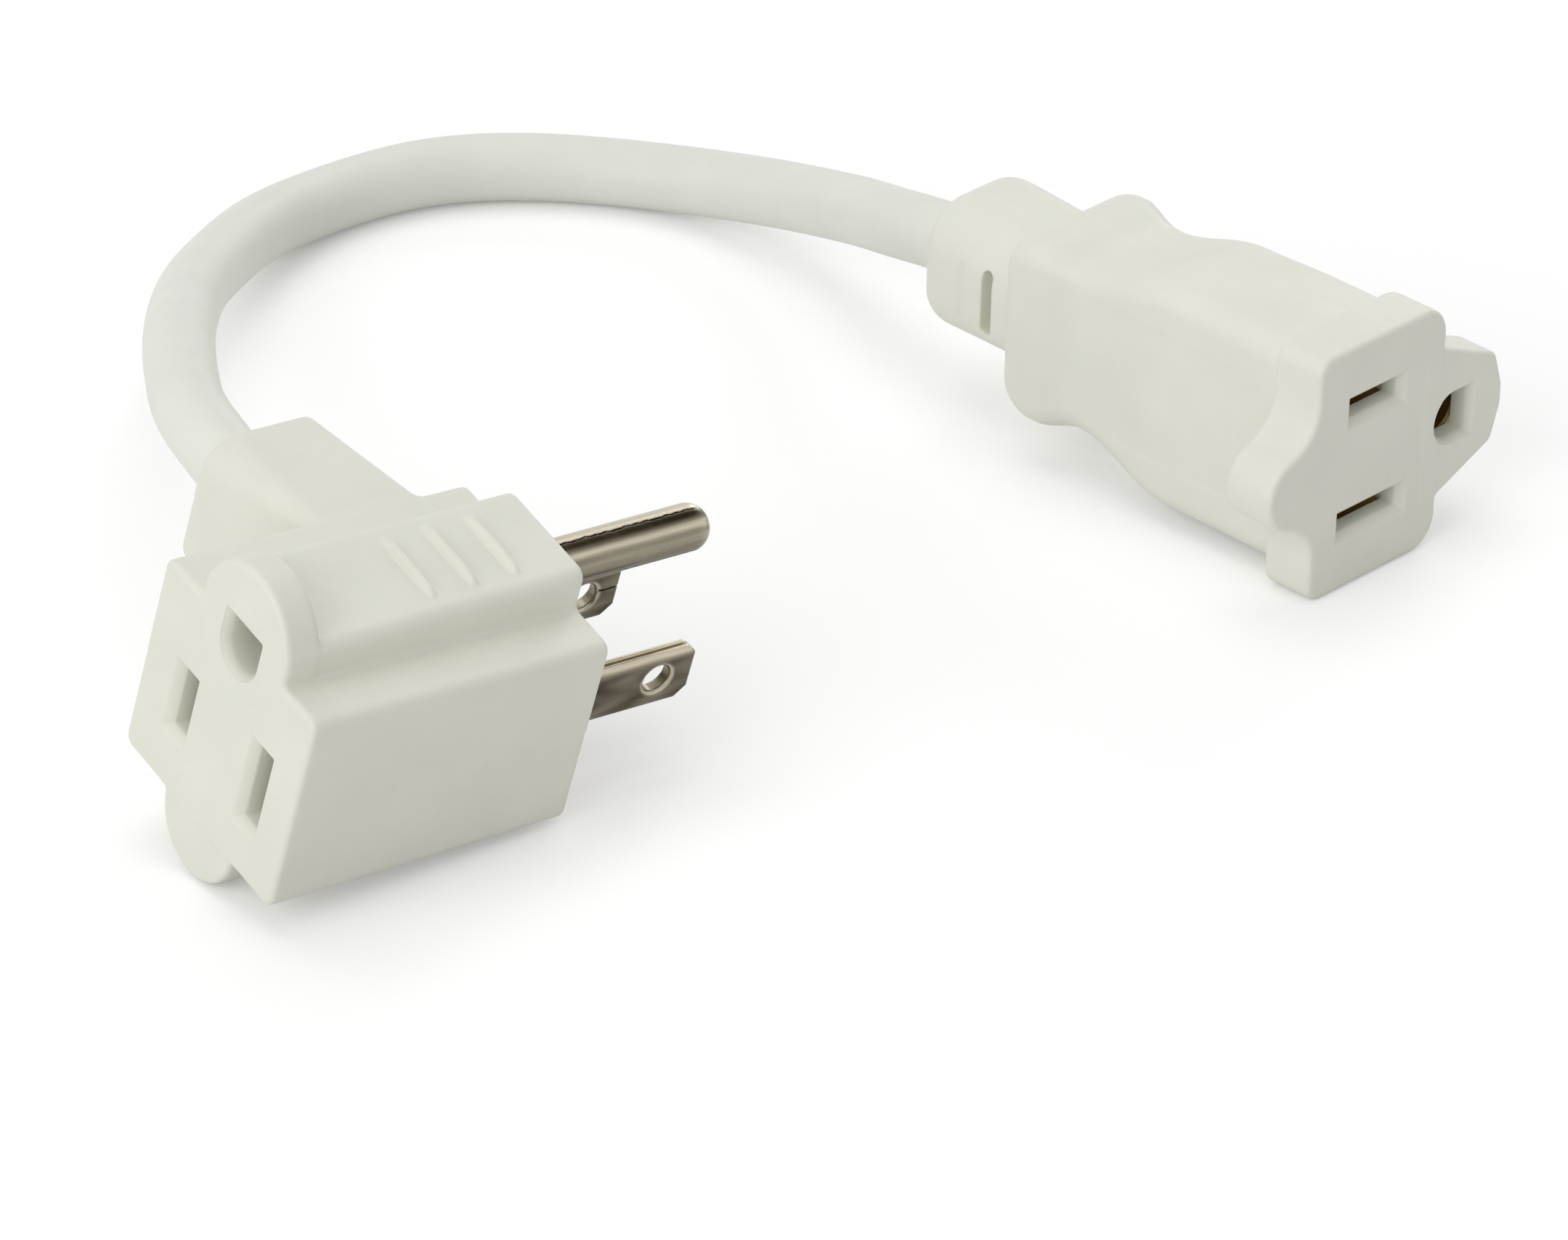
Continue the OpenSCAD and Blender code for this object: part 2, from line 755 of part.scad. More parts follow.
module plug_socket_core() {
    color(liner)
        place_plug()
            difference() {
                translate([0, 0, face_wall + fit])
                    linear_extrude(core_back - face_wall)
                        plug_inner(0);
                translate([blade_x, 0, 0])
                    clip_pocket(hot_clip_w, core_back + 1);
                translate([-blade_x, 0, 0])
                    clip_pocket(neutral_clip_w, core_back + 1);
                translate([0, ground_offset, 0])
                    cylinder(r = sleeve_r + fit, h = core_back + 1);
                translate([-strap_half_w - fit, ground_strap_bottom - fit, core_back / 2])
                    cube([2 * (strap_half_w + fit), leaf_t + 2, core_back]);
            }
}

module plug_blade_carrier() {
    color(liner)
        place_plug()
            difference() {
                translate([0, 0, carrier_front])
                    linear_extrude(plug_depth - carrier_front - 0.1)
                        plug_inner(0);
                for (side = [-1, 1])
                    translate([side * blade_x - blade_t / 2 - fit, -blade_w / 2 - fit, 0])
                        cube([blade_t + 2 * fit, blade_w + 2 * fit, plug_depth + 1]);
                translate([0, ground_offset, 0])
                    cylinder(r = pin_r + fit, h = plug_depth + 1);
            }
}

module hot_blade() {
    color(nickel)
        place_plug()
            translate([blade_x, 0, 0])
                blade();
}

module neutral_blade() {
    color(nickel)
        place_plug()
            translate([-blade_x, 0, 0])
                blade();
}

module ground_pin() {
    seam_w = 0.4;
    seam_depth = 1.2;
    length = plug_depth - tail_front + pin_reach;
    tip = 1.9;
    neck_r = pin_r - 0.4;
    neck_end = plug_depth - tail_front - fit;
    color(nickel)
        place_plug()
            translate([0, ground_offset, tail_front])
                difference() {
                    // with a neck that the carrier grips
                    rotate_extrude()
                        polygon(concat(
                            [[0, 0], [pin_r, 0], [pin_r, neck_end - 1], [neck_r, neck_end - 1],
                             [neck_r, neck_end], [pin_r, neck_end]],
                            [for (i = [0:8])
                                [pin_r - tip + tip * cos(90 * i / 8),
                                 length - tip + tip * sin(90 * i / 8)]],
                            [[0, length]]
                        ));
                    // the seam of the fold, from the neck to the tip
                    rotate([0, 0, 180])
                        translate([pin_r - seam_depth, -seam_w / 2, neck_end - past])
                            cube([pin_r, seam_w, length]);
                }
}

module plug_hot_contact() {
    color(brass)
        place_plug() {
            translate([blade_x, 0, 0])
                clip(hot_clip_w, plug_clip_back);
            translate([blade_x, -blade_w / 2, plug_clip_back - leaf_t])
                cube([strap_x + leaf_t - blade_x, blade_w, leaf_t]);
            translate([strap_x, -blade_w / 2, plug_clip_back - leaf_t])
                cube([leaf_t, blade_w, strap_end - plug_clip_back + leaf_t]);
            translate([strap_x + leaf_t / 2, hot_barrel.y, hot_barrel.z])
                difference() {
                    barrel_on_plate();
                    translate([-leaf_t, -barrel_r, -barrel_r])
                        cube([leaf_t, 2 * barrel_r, 2 * barrel_r]);
                }
        }
}

// Barrel that starts in a plate and stands on its outer side
module barrel_on_plate() {
    rotate([0, 90, 0])
        difference() {
            cylinder(r = barrel_r, h = barrel_length + leaf_t / 2);
            translate([0, 0, leaf_t / 2])
                cylinder(r = barrel_bore_r, h = barrel_length + 1);
        }
}

module plug_neutral_contact() {
    tab_half = 1.6;
    color(brass)
        place_plug() {
            translate([-blade_x, 0, 0])
                clip(neutral_clip_w, plug_clip_back);
            translate([-strap_x - leaf_t, -blade_w / 2, plug_clip_back - leaf_t])
                cube([strap_x + leaf_t - blade_x, blade_w, leaf_t]);
            translate([-strap_x - leaf_t, -blade_w / 2, plug_clip_back - leaf_t])
                cube([leaf_t, blade_w, strap_end - plug_clip_back + leaf_t]);
            translate([-strap_x - leaf_t, neutral_barrel.y - barrel_r,
                       neutral_barrel.z - tab_half])
                cube([leaf_t, barrel_r - neutral_barrel.y - blade_w / 4, 2 * tab_half]);
            translate([-strap_x - leaf_t / 2, neutral_barrel.y, neutral_barrel.z])
                barrel_on_plate();
        }
}

module plug_ground_contact() {
    color(brass)
        place_plug()
            difference() {
                union() {
                    translate([0, ground_offset, sleeve_front])
                        cylinder(r = sleeve_r, h = sleeve_depth);
                    translate([-strap_half_w, ground_strap_bottom, core_back / 2 + 0.5])
                        cube([2 * strap_half_w, leaf_t, strap_end - core_back / 2 - 0.5]);
                    translate(ground_barrel)
                        barrel();
                }
                translate([0, ground_offset, sleeve_front - past])
                    cylinder(r = sleeve_bore_r, h = sleeve_depth + 2 * past);
                translate([ground_barrel.x - past, ground_barrel.y, ground_barrel.z])
                    rotate([0, 90, 0])
                        cylinder(r = barrel_bore_r, h = barrel_length + 2 * past);
            }
}

/* ---------- cord ---------- */

module cord_jacket() {
    color(ivory)
        tube(jacket_path, cord_r, jacket_bore_r, jacket_sides, up);
}

module cord_fillers() {
    color(fibre)
        for (angle = [60, 180, 300])
            rod(strand(filler_lay, angle), filler_d / 2, 6, up);
}

module hot_insulation() {
    color([0.12, 0.12, 0.12])
        tube(hot_path, wire_r, copper_bore_r, wire_sides, up);
}

module neutral_insulation() {
    color([0.93, 0.93, 0.93])
        tube(neutral_path, wire_r, copper_bore_r, wire_sides, up);
}

module ground_insulation() {
    color([0.1, 0.5, 0.22])
        tube(ground_path, wire_r, copper_bore_r, wire_sides, up);
}

module hot_copper() {
    color(copper)
        rod(bare_path(hot_path), copper_r, wire_sides, up);
}

module neutral_copper() {
    color(copper)
        rod(bare_path(neutral_path), copper_r, wire_sides, up);
}

module ground_copper() {
    color(copper)
        rod(bare_path(ground_path), copper_r, wire_sides, up);
}

/* ---------- connector ---------- */

bulge_u = -(bulge_reach - bulge_r);
dip_u = -(collar_plain_u + dip_r);
dip_v = sqrt(pow(bulge_r + dip_r, 2) - pow(bulge_u - dip_u, 2));
dip_angle = atan2(-dip_v, bulge_u - dip_u);

collar_outline = concat(
    corner([0, -collar_half_v], [collar_ground_u, -collar_half_v], [collar_ground_u, 0], 3.3),
    corner([collar_ground_u, 0], [collar_ground_u, collar_half_v], [0, collar_half_v], 3.3),
    corner([0, collar_half_v], [-collar_plain_u, collar_half_v], [-collar_plain_u, 0], 1.8),
    arc([dip_u, dip_v], dip_r, 0, dip_angle, 6),
    arc([bulge_u, 0], bulge_r, 180 + dip_angle + 9, 180 - dip_angle - 9, 9),
    arc([dip_u, -dip_v], dip_r, -dip_angle, 0, 6),
    corner([-collar_plain_u, 0], [-collar_plain_u, -collar_half_v], [0, -collar_half_v], 1.8)
);

nose_outline = rounded([
    [collar_ground_u - 3, -8.4, 0.5],
    [collar_ground_u + 0.1, -8.4, 0.5],
    [nose_reach - 1.2, -5, 1.3],
    [nose_reach, -1.2, 2],
    [nose_reach, 1.2, 2],
    [nose_reach - 1.2, 5, 1.3],
    [collar_ground_u + 0.1, 8.4, 0.5],
    [collar_ground_u - 3, 8.4, 0.5]
], 3);

// How far the grip reaches at a distance from the face
grip_start = 4;
neck_z = 13;
taper_z = 21.5;
flare_z = 39.8;
flare_round = 2.2;
grip_corner = 1.9;

function part_way(z, from, to) = min(max((z - from) / (to - from), 0), 1);
function rounding(z) = flare_round * (1 - sqrt(1 - pow(part_way(z, flare_z, flare_end), 2)));
function waisted(z, at_grip, at_waist, at_flare) =
    z < waist_z
        ? mix(at_grip, at_waist, ease(part_way(z, taper_z, waist_z)))
        : mix(at_waist, at_flare, ease(part_way(z, waist_z, flare_z))) - rounding(z);
function plain_u(z) = waisted(z, grip_plain_u, waist_plain_u, flare_plain_u);
function half_v(z) = waisted(z, grip_half_v, waist_half_v, flare_half_v);
function ground_u(z) =
    z < taper_z
        ? mix(grip_ground_u, neck_ground_u, ease(part_way(z, neck_z, taper_z)))
        : mix(neck_ground_u, flare_ground_u, pow(part_way(z, taper_z, flare_z), 3))
            - rounding(z);

module grip() {
    stations = concat([grip_start], [for (i = [0:3]) mix(neck_z, taper_z, i / 3)],
                      [for (i = [1:6]) mix(taper_z, waist_z, i / 6)],
                      [for (i = [1:4]) mix(waist_z, flare_z, i / 4)],
                      [for (i = [1:4]) mix(flare_z, flare_end, sin(90 * i / 4))]);
    loft([for (z = stations)
        raise(box_outline(-plain_u(z), ground_u(z), -half_v(z), half_v(z), grip_corner, 4), z)]);
}

// Ridge over the ground contact behind the nose, as reach at a distance from the face
module ridge() {
    half = conn_tower_half_v + ridge_wall;
    hull()
        for (s = [[grip_start, ridge_reach], [17, ridge_reach], [19.5, ridge_reach - 1.5],
                  [22, ridge_reach - 5], [25, neck_ground_u - 0.6]])
            translate([0, 0, s[0]])
                linear_extrude(lip)
                    polygon(box_outline(0, s[1], -half, half, 1.6, 3));
}

// Outline of the strain relief, widened on two sides and shrunk all round
function relief_outline(wider, shrink, r) =
    box_outline(shrink - relief_half, relief_half + wider - shrink,
                shrink - relief_half - wider, relief_half - shrink, r, 5);

// Strain relief with its round end, as [distance from the end, widening, shrinking, corners]
module relief() {
    round_end = 4.7;
    hull()
        for (s = [[relief_end - flare_end + 2, 0, 0, 3],
                  [round_end, relief_flare, 0, 3],
                  [0.6 * round_end, relief_flare, 0.2, 3.3],
                  [0.3 * round_end, relief_flare, 0.75, 4.1],
                  [0.1 * round_end, relief_flare, 1.5, 4.6],
                  [lip, relief_flare, 2.3, 4.3]])
            translate([cord_u, 0, relief_end - s[0]])
                linear_extrude(lip)
                    polygon(relief_outline(s[1], s[2], s[3]));
}

// Slit with round ends in the strain relief's plain side
module slit(z, half, w, depth) {
    hull()
        for (side = [-1, 1])
            translate([cord_u - relief_half + depth, slit_v + side * (half - w / 2), z])
                rotate([0, -90, 0])
                    cylinder(d = w, h = depth + past, $fn = 16);
}

// Room for the core, in the uv plane
module connector_inner(play) {
    translate([-conn_core_plain_u - play, -conn_core_half_v - play])
        square([conn_core_plain_u + conn_core_ground_u + 2 * play,
                2 * (conn_core_half_v + play)]);
    translate([0, -conn_tower_half_v - play])
        square([conn_tower_u + play, 2 * (conn_tower_half_v + play)]);
}

module wiring_chamber() {
    side = blade_x + wire_r + 0.7;
    neck = lay_r + wire_r + 1;
    wide_end = 25.5;
    neck_start = 38;
    translate([chamber_plain_u, 0, 0])
        rotate([90, 0, 90])
            linear_extrude(chamber_ground_u - chamber_plain_u) {
                hull() {
                    translate([-side, conn_core_back])
                        square([2 * side, wide_end - conn_core_back]);
                    translate([-neck, neck_start])
                        square([2 * neck, lip]);
                }
                translate([-neck, neck_start])
                    square([2 * neck, jacket_end_z + lip - neck_start]);
            }
    rotate([90, 0, 0])
        linear_extrude(2 * (wire_r + 0.4), center = true)
            polygon([
                [0, conn_core_back], [conn_ground_barrel_u + 1.8, conn_core_back],
                [conn_ground_barrel_u + 1.8, 19.5], [conn_ground_barrel_u + 0.3, 23],
                [chamber_ground_u + 0.6, 28], [chamber_ground_u, 31], [0, 31]
            ]);
}

module connector_overmold() {
    color(ivory)
        place_connector()
            difference() {
                union() {
                    soft_plate(collar_outline, collar_outline, collar_depth, edge);
                    soft_block(nose_outline, nose_depth, edge * 0.8);
                    grip();
                    ridge();
                    relief();
                }
                translate([0, 0, face_wall])
                    linear_extrude(conn_core_back - face_wall + lip)
                        connector_inner(fit);
                wiring_chamber();
                translate([cord_u, 0, jacket_end_z])
                    cylinder(r = bore_r, h = relief_end);
                translate([0, -blade_x, 0])
                    rotate([0, 0, 90])
                        slot(hot_slot_h, face_wall);
                translate([0, blade_x, 0])
                    rotate([0, 0, 90])
                        slot(neutral_slot_h, face_wall);
                translate([ground_offset, 0, 0])
                    rotate([0, 0, -90])
                        ground_hole(face_wall);
                slit(slit_z, 3.6, 1.6, 2);
                slit(groove_z, 3.2, 0.5, 0.6);
            }
}

module connector_core() {
    color(liner)
        place_connector()
            difference() {
                translate([0, 0, face_wall + fit])
                    linear_extrude(conn_core_back - face_wall - fit)
                        connector_inner(0);
                translate([0, -blade_x, 0])
                    rotate([0, 0, 90])
                        clip_pocket(hot_clip_w, conn_core_back + 1);
                translate([0, blade_x, 0])
                    rotate([0, 0, 90])
                        clip_pocket(neutral_clip_w, conn_core_back + 1);
                translate([ground_offset, 0, 0])
                    cylinder(r = sleeve_r + fit, h = conn_core_back + 1);
                translate([conn_ground_barrel_u - barrel_r - fit, -strap_half_w - fit,
                           conn_core_back / 2 - 0.5])
                    cube([ground_offset - conn_ground_barrel_u + barrel_r,
                          2 * (strap_half_w + fit), conn_core_back]);
            }
}

// Clip across the blade's thickness along v, with its barrel towards the cord
module connector_clip(w) {
    rotate([0, 0, 90])
        clip(w, conn_clip_back);
    translate([0, 0, conn_clip_back - leaf_t / 2])
        difference() {
            cylinder(r = barrel_r, h = conn_barrel_end - conn_clip_back + leaf_t / 2);
            translate([0, 0, leaf_t / 2])
                cylinder(r = barrel_bore_r, h = barrel_length + 1);
        }
}

module connector_hot_contact() {
    color(brass)
        place_connector()
            translate([0, -blade_x, 0])
                connector_clip(hot_clip_w);
}

module connector_neutral_contact() {
    color(brass)
        place_connector()
            translate([0, blade_x, 0])
                connector_clip(neutral_clip_w);
}

module connector_ground_contact() {
    color(brass)
        place_connector()
            difference() {
                union() {
                    translate([ground_offset, 0, sleeve_front])
                        cylinder(r = sleeve_r, h = sleeve_depth);
                    translate([conn_strap_u, -strap_half_w, conn_core_back / 2])
                        cube([leaf_t, 2 * strap_half_w, conn_core_back / 2 - 0.2]);
                    translate([conn_ground_barrel_u, 0, conn_ground_barrel_z])
                        cylinder(r = barrel_r, h = barrel_length);
                }
                translate([ground_offset, 0, sleeve_front - past])
                    cylinder(r = sleeve_bore_r, h = sleeve_depth + 2 * past);
                translate([conn_ground_barrel_u, 0, conn_ground_barrel_z - past])
                    cylinder(r = barrel_bore_r, h = barrel_length + 2 * past);
            }
}

plug_overmold();
plug_socket_core();
plug_blade_carrier();
hot_blade();
neutral_blade();
ground_pin();
plug_hot_contact();
plug_neutral_contact();
plug_ground_contact();
cord_jacket();
cord_fillers();
hot_insulation();
neutral_insulation();
ground_insulation();
hot_copper();
neutral_copper();
ground_copper();
connector_overmold();
connector_core();
connector_hot_contact();
connector_neutral_contact();
connector_ground_contact();
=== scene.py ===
"""Extension cord with a pass-through plug and a grounded connector, dressed round its CAD frame."""

import json
import math

import bmesh
import bpy
import numpy as np
import openvdb
from mathutils import Matrix, Vector


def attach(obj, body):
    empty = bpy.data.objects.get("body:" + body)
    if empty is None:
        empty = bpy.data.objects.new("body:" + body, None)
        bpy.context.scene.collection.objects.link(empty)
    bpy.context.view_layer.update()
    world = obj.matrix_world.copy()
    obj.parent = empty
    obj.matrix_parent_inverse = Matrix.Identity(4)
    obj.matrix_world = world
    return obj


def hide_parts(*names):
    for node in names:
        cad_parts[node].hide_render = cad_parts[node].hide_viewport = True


MM = 0.001

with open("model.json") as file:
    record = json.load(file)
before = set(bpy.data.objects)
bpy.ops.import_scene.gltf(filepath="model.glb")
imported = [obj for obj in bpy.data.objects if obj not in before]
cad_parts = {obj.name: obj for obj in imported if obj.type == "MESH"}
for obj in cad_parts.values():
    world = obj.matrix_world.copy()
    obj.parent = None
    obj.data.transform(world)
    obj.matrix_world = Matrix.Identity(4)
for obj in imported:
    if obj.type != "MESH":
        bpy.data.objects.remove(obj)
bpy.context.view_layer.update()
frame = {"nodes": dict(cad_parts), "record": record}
nodes = frame["nodes"]
scene = bpy.context.scene
scene.view_settings.view_transform = "Standard"

# ---------------------------------------------------------------- camera

camera_data = bpy.data.cameras.new("camera")
camera_data.sensor_fit = "HORIZONTAL"
camera_data.sensor_width = 36
camera_data.lens = 200.1
camera_data.clip_start = 0.05
camera_data.clip_end = 20
camera = bpy.data.objects.new("camera", camera_data)
camera.location = (-0.45364, -0.60246, 0.4184)
camera.rotation_euler = (math.radians(61), 0, math.radians(-37.11))
scene.collection.objects.link(camera)
scene.camera = camera

# ---------------------------------------------------------------- sizes (mm)
# They are those of part.scad, apart from edges and details that follow the photo more closely.

# Cells of the grids that the moulded bodies and the metal pieces are meshed in
BODY_CELL = 0.22
METAL_CELL = 0.09

# Blades and pin
blade_x = 6.35
ground_y = 11.9
blade_w = 6.35
blade_t = 1.52
blade_reach = 16.2
blade_edge = 0.36
blade_bevel = 1.2
blade_hole_d = 3.1
blade_hole_z = 12.1
hole_sink = 0.25
tail_front = 25
pin_r = 2.375
pin_reach = 19.4
pin_dome = 2.1
pin_neck_inset = 0.4

# Slots and holes of both outlet faces
face_wall = 2.5
slot_t = 2.1
slot_corner = 0.18
hot_slot_h = 7
neutral_slot_h = 8.7
ground_hole_r = 2.55
throat_step = 0.12  # a ground hole narrows by this inside, so that its wall covers the contact
lead_in = 0.75
lead_depth = 0.9
fit = 0.05
past = 0.6  # how far cutters, and the grids of the metal pieces, reach past the ends

# Plug
arm_side_w = 13.05
plain_side_w = 12.65
wing_top = 12.9
wing_bottom = 10.05
wing_corner = 1.2
draft = 0.4
plug_depth = 34
plug_wall = 5.6  # the plug's slots go this deep into its moulding, so that no insert shows
plug_front_edge = 0.55
plug_back_edge = 0.7
block_half_w = 6.9
block_top = 16.7
block_corner = 1.3
block_foot = 0.6
boss_r = 7
boss_y = 13.9
foot_r = 5.8
foot_y = 9.9
flange_depth = 4
flange_edge = 0.75
flange_blend = 0.3
arm_start = 9
arm_end = 31
arm_w = 12.5
arm_z = 22.6
arm_end_h = 14.3
arm_y = 1.2
arm_taper = 0.977  # cosine of the slope of the arm's upper and lower side
arm_round = 4.2
arm_corner = 1.4
arm_edge = 1.1
arm_blend = 0.7
rib_length = 9.3
rib_w = 0.85
rib_h = 0.65
rib_pitch = 4.75
rib_sink = 0.35
rib_blend = 0.2
plug_line_h = 0.06  # mould's parting line, and how far its lower half is off
plug_line_w = 0.26
plug_step = 0.03

# Rooms inside the plug: for the hard inserts, and for the wires in the arm
insert_half_x = 10.55
insert_bottom = -7.95
insert_top = 10.8
insert_tower_half = 4.45
insert_tower_top = 15.6
wires_half_y = 7.2
wires_half_z = 3.9

# Connector
collar_half_v = 13.65
collar_ground_u = 10.1
collar_plain_u = 8.9
collar_ground_corner = 3.3
collar_plain_corner = 1.8
bulge_reach = 15.5
bulge_r = 4.1
dip_r = 5.1
collar_depth = 6.2
collar_front_edge = 0.6
collar_back_edge = 0.8
nose_reach = 19.35
nose_depth = 5.2
nose_half_v = 8.4
nose_blend = 0.3
grip_start = 3.5
grip_half_v = 12.75
grip_plain_u = 7.3
grip_ground_u = 8.8
grip_corner = 2.8
grip_blend = 0.45
neck_z = 13
neck_ground_u = 8.4
taper_z = 21.5
waist_z = 35
waist_half_v = 9.7
waist_plain_u = 6.2
flare_z = 39.8
flare_half_v = 10.5
flare_plain_u = 7.45
flare_ground_u = 10.5
flare_end = 45
flare_round = 4.4
ridge_start = 4
ridge_end = 26
ridge_reach = 16.6
ridge_half = 5.25
ridge_corner = 1.6
ridge_blend = 1.2
relief_start = 41
relief_half = 6.8
relief_flare = 0.45
relief_end = 59.3
relief_tip = 60.2  # the rounded end reaches a little past the CAD's, which is relief_end
relief_round = 4.6
relief_corner = 3.6
relief_wide_corner = 6.2
relief_blend = 1.0
slit_v = 0.8
slit_z = 49.3
slit_half = 3.6
slit_w = 1.4
slit_depth = 2
groove_z = 52.8
groove_half = 3.2
groove_w = 0.5
groove_depth = 0.25
panel_z = 21
panel_half_z = 8.5
panel_half_v = 7.6
panel_depth = 0.09
panel_edge = 0.35
conn_line_h = 0.035  # mould's parting line
conn_line_w = 0.5

# Rooms inside the connector: for the core, the wires and the ground contact's barrel
core_plain_u = 5.65
core_ground_u = 6.45
core_half_v = 10.6
core_back = 16.1
tower_u = 15.55
tower_half_v = 4.2
chamber_front = 15.9
chamber_plain_u = 1.9
chamber_ground_u = 6
chamber_half_v = 8.37
chamber_neck_half_v = 3.88
barrel_u = 9.55
barrel_half_v = 1.72

# Cord
cord_r = 3.7
cord_u = 2.4
cord_sides = 48
jacket_start = 17
jacket_end_z = 46
map_length = 23  # of the jacket, along and round, for one unit of its UV map
ROUTE = [
    (-48.2, 24.2, 24.8), (-46.2, 31.6, 25), (-42.6, 38.6, 24), (-38.4, 45.6, 22.2),
    (-33.8, 52.8, 20), (-28.3, 60.8, 17.3), (-21.8, 69.6, 14.1), (-14.5, 78.4, 10.8),
    (-5.5, 87.2, 7.6), (4.6, 94.8, 5), (15.2, 98.2, 3.7), (26, 97.4, 3.7), (35.8, 92.4, 3.7),
    (43.4, 85, 3.7), (48.6, 75.8, 4.5), (50.6, 66, 6.5), (50.2, 56.4, 9.2),
    (48.6, 47, 12.2), (47.2, 39, 14.5),
]

# ---------------------------------------------------------------- where plug and connector lie


def turn(angle, axis):
    return Matrix.Rotation(math.radians(angle), 4, axis)


# Local frames: z runs from the outlet face to the blades or to the cord. The plug's x, y are
# across and up. The connector's are u, towards the ground side, and v, down along the face.
plug_axes = Matrix(((0, 0, 1, 0), (1, 0, 0, 0), (0, 1, 0, 0), (0, 0, 0, 1)))
conn_axes = Matrix(((1, 0, 0, 0), (0, 0, 1, 0), (0, -1, 0, 0), (0, 0, 0, 1)))
PLUG = (Matrix.Translation(Vector((-71.84, -10.36, 15.5527)) * MM)
        @ turn(4.3, "Y") @ turn(15.8, "X") @ plug_axes)
CONN = (Matrix.Translation(Vector((53.86, -28.76, 13.616)) * MM)
        @ turn(8, "Z") @ turn(1.9, "X") @ conn_axes)


def placed(where, x, y, z):
    """Point of a local frame (mm), in the row frame (m)."""
    return where @ (Vector((x, y, z)) * MM)


# ---------------------------------------------------------------- outlines


def arc(cx, cy, r, start, end, steps):
    """Points on a circle from one angle to another, in degrees."""
    return [(cx + r * math.cos(math.radians(start + (end - start) * i / steps)),
             cy + r * math.sin(math.radians(start + (end - start) * i / steps)))
            for i in range(steps + 1)]


def corner(p, q, s, r, steps=6):
    """Points of the rounded corner q between its neighbours p and s."""
    p, q, s = Vector(p), Vector(q), Vector(s)
    back, ahead = (p - q).normalized(), (s - q).normalized()
    half = math.acos(max(-1, min(1, back.dot(ahead)))) / 2
    centre = q + (back + ahead).normalized() * r / math.sin(half)
    first = q + back * r / math.tan(half) - centre
    side = -1 if back.x * ahead.y - back.y * ahead.x > 0 else 1
    sweep = side * (math.pi - 2 * half)
    points = []
    for i in range(steps + 1):
        a = sweep * i / steps
        points.append((centre.x + first.x * math.cos(a) - first.y * math.sin(a),
                       centre.y + first.x * math.sin(a) + first.y * math.cos(a)))
    return points


def rounded(corners, steps=6):
    """Outline with a rounded corner at each (x, y, radius)."""
    points = []
    for i, (x, y, r) in enumerate(corners):
        before, after = corners[i - 1], corners[(i + 1) % len(corners)]
        points += corner(before[:2], (x, y), after[:2], r, steps)
    return points


def rectangle(x0, x1, y0, y1):
    return [(x0, y0), (x1, y0), (x1, y1), (x0, y1)]


# ---------------------------------------------------------------- distances (mm)


def to_outline(points, x, y):
    """Signed distance to a closed outline in a plane, negative inside."""
    nearest = np.full(np.broadcast(x, y).shape, 1e9, np.float32)
    inside = np.zeros(nearest.shape, bool)
    for (ax, ay), (bx, by) in zip(points, points[1:] + points[:1]):
        ex, ey = bx - ax, by - ay
        wx, wy = x - ax, y - ay
        t = np.clip((wx * ex + wy * ey) / (ex * ex + ey * ey + 1e-12), 0, 1)
        nearest = np.minimum(nearest, np.hypot(wx - ex * t, wy - ey * t))
        if ay != by:
            crosses = (ay > y) != (by > y)
            inside ^= crosses & (x < ax + (y - ay) * ex / ey)
    return np.where(inside, -nearest, nearest).astype(np.float32)


def both(a, b, r):
    """Where two shapes meet, with an edge rounded by r."""
    u, v = a + r, b + r
    return np.minimum(np.maximum(u, v), 0) + np.hypot(np.maximum(u, 0), np.maximum(v, 0)) - r


def either(a, b, r):
    """Two shapes joined, with a hollow corner filled by r."""
    u, v = r - a, r - b
    return r - np.hypot(np.maximum(u, 0), np.maximum(v, 0)) + np.maximum(np.minimum(a, b) - r, 0)


def plate(outline, z, depth, front_edge, back_edge):
    """A flat shape from z = 0 to its depth, with its two edges rounded."""
    return np.maximum(both(outline, -z, front_edge), both(outline, z - depth, back_edge))


def box_section(x, y, x0, x1, y0, y1, r):
    """Distance to a rectangle with corners rounded by r (a number, or one for each point)."""
    qx = np.abs(x - (x0 + x1) / 2) - (x1 - x0) / 2 + r
    qy = np.abs(y - (y0 + y1) / 2) - (y1 - y0) / 2 + r
    return np.hypot(np.maximum(qx, 0), np.maximum(qy, 0)) + np.minimum(np.maximum(qx, qy), 0) - r


def mix(a, b, t):
    return a + (b - a) * t


def part_way(z, start, end):
    """0 up to start, 1 from end on, and evenly between them."""
    return np.clip((z - start) / (end - start), 0, 1)


def ease(t):
    return (1 - np.cos(math.pi * t)) / 2


def hump(x, width):
    """A smooth bump of height 1 at x = 0 that falls off over the width on both sides."""
    return np.exp(-(x / width) ** 2)


# ---------------------------------------------------------------- meshes


def mesh_from(name, points, faces):
    mesh = bpy.data.meshes.new(name)
    points = np.asarray(points, np.float32)
    faces = np.asarray(faces, np.int32)
    n, sides = faces.shape
    mesh.vertices.add(len(points))
    mesh.vertices.foreach_set("co", points.ravel())
    mesh.loops.add(n * sides)
    mesh.loops.foreach_set("vertex_index", faces.ravel())
    mesh.polygons.add(n)
    mesh.polygons.foreach_set("loop_start", np.arange(0, n * sides, sides, dtype=np.int32))
    mesh.update(calc_edges=True)
    mesh.validate()
    return mesh


def linked(name, mesh):
    piece = bpy.data.objects.new(name, mesh)
    scene.collection.objects.link(piece)
    return piece


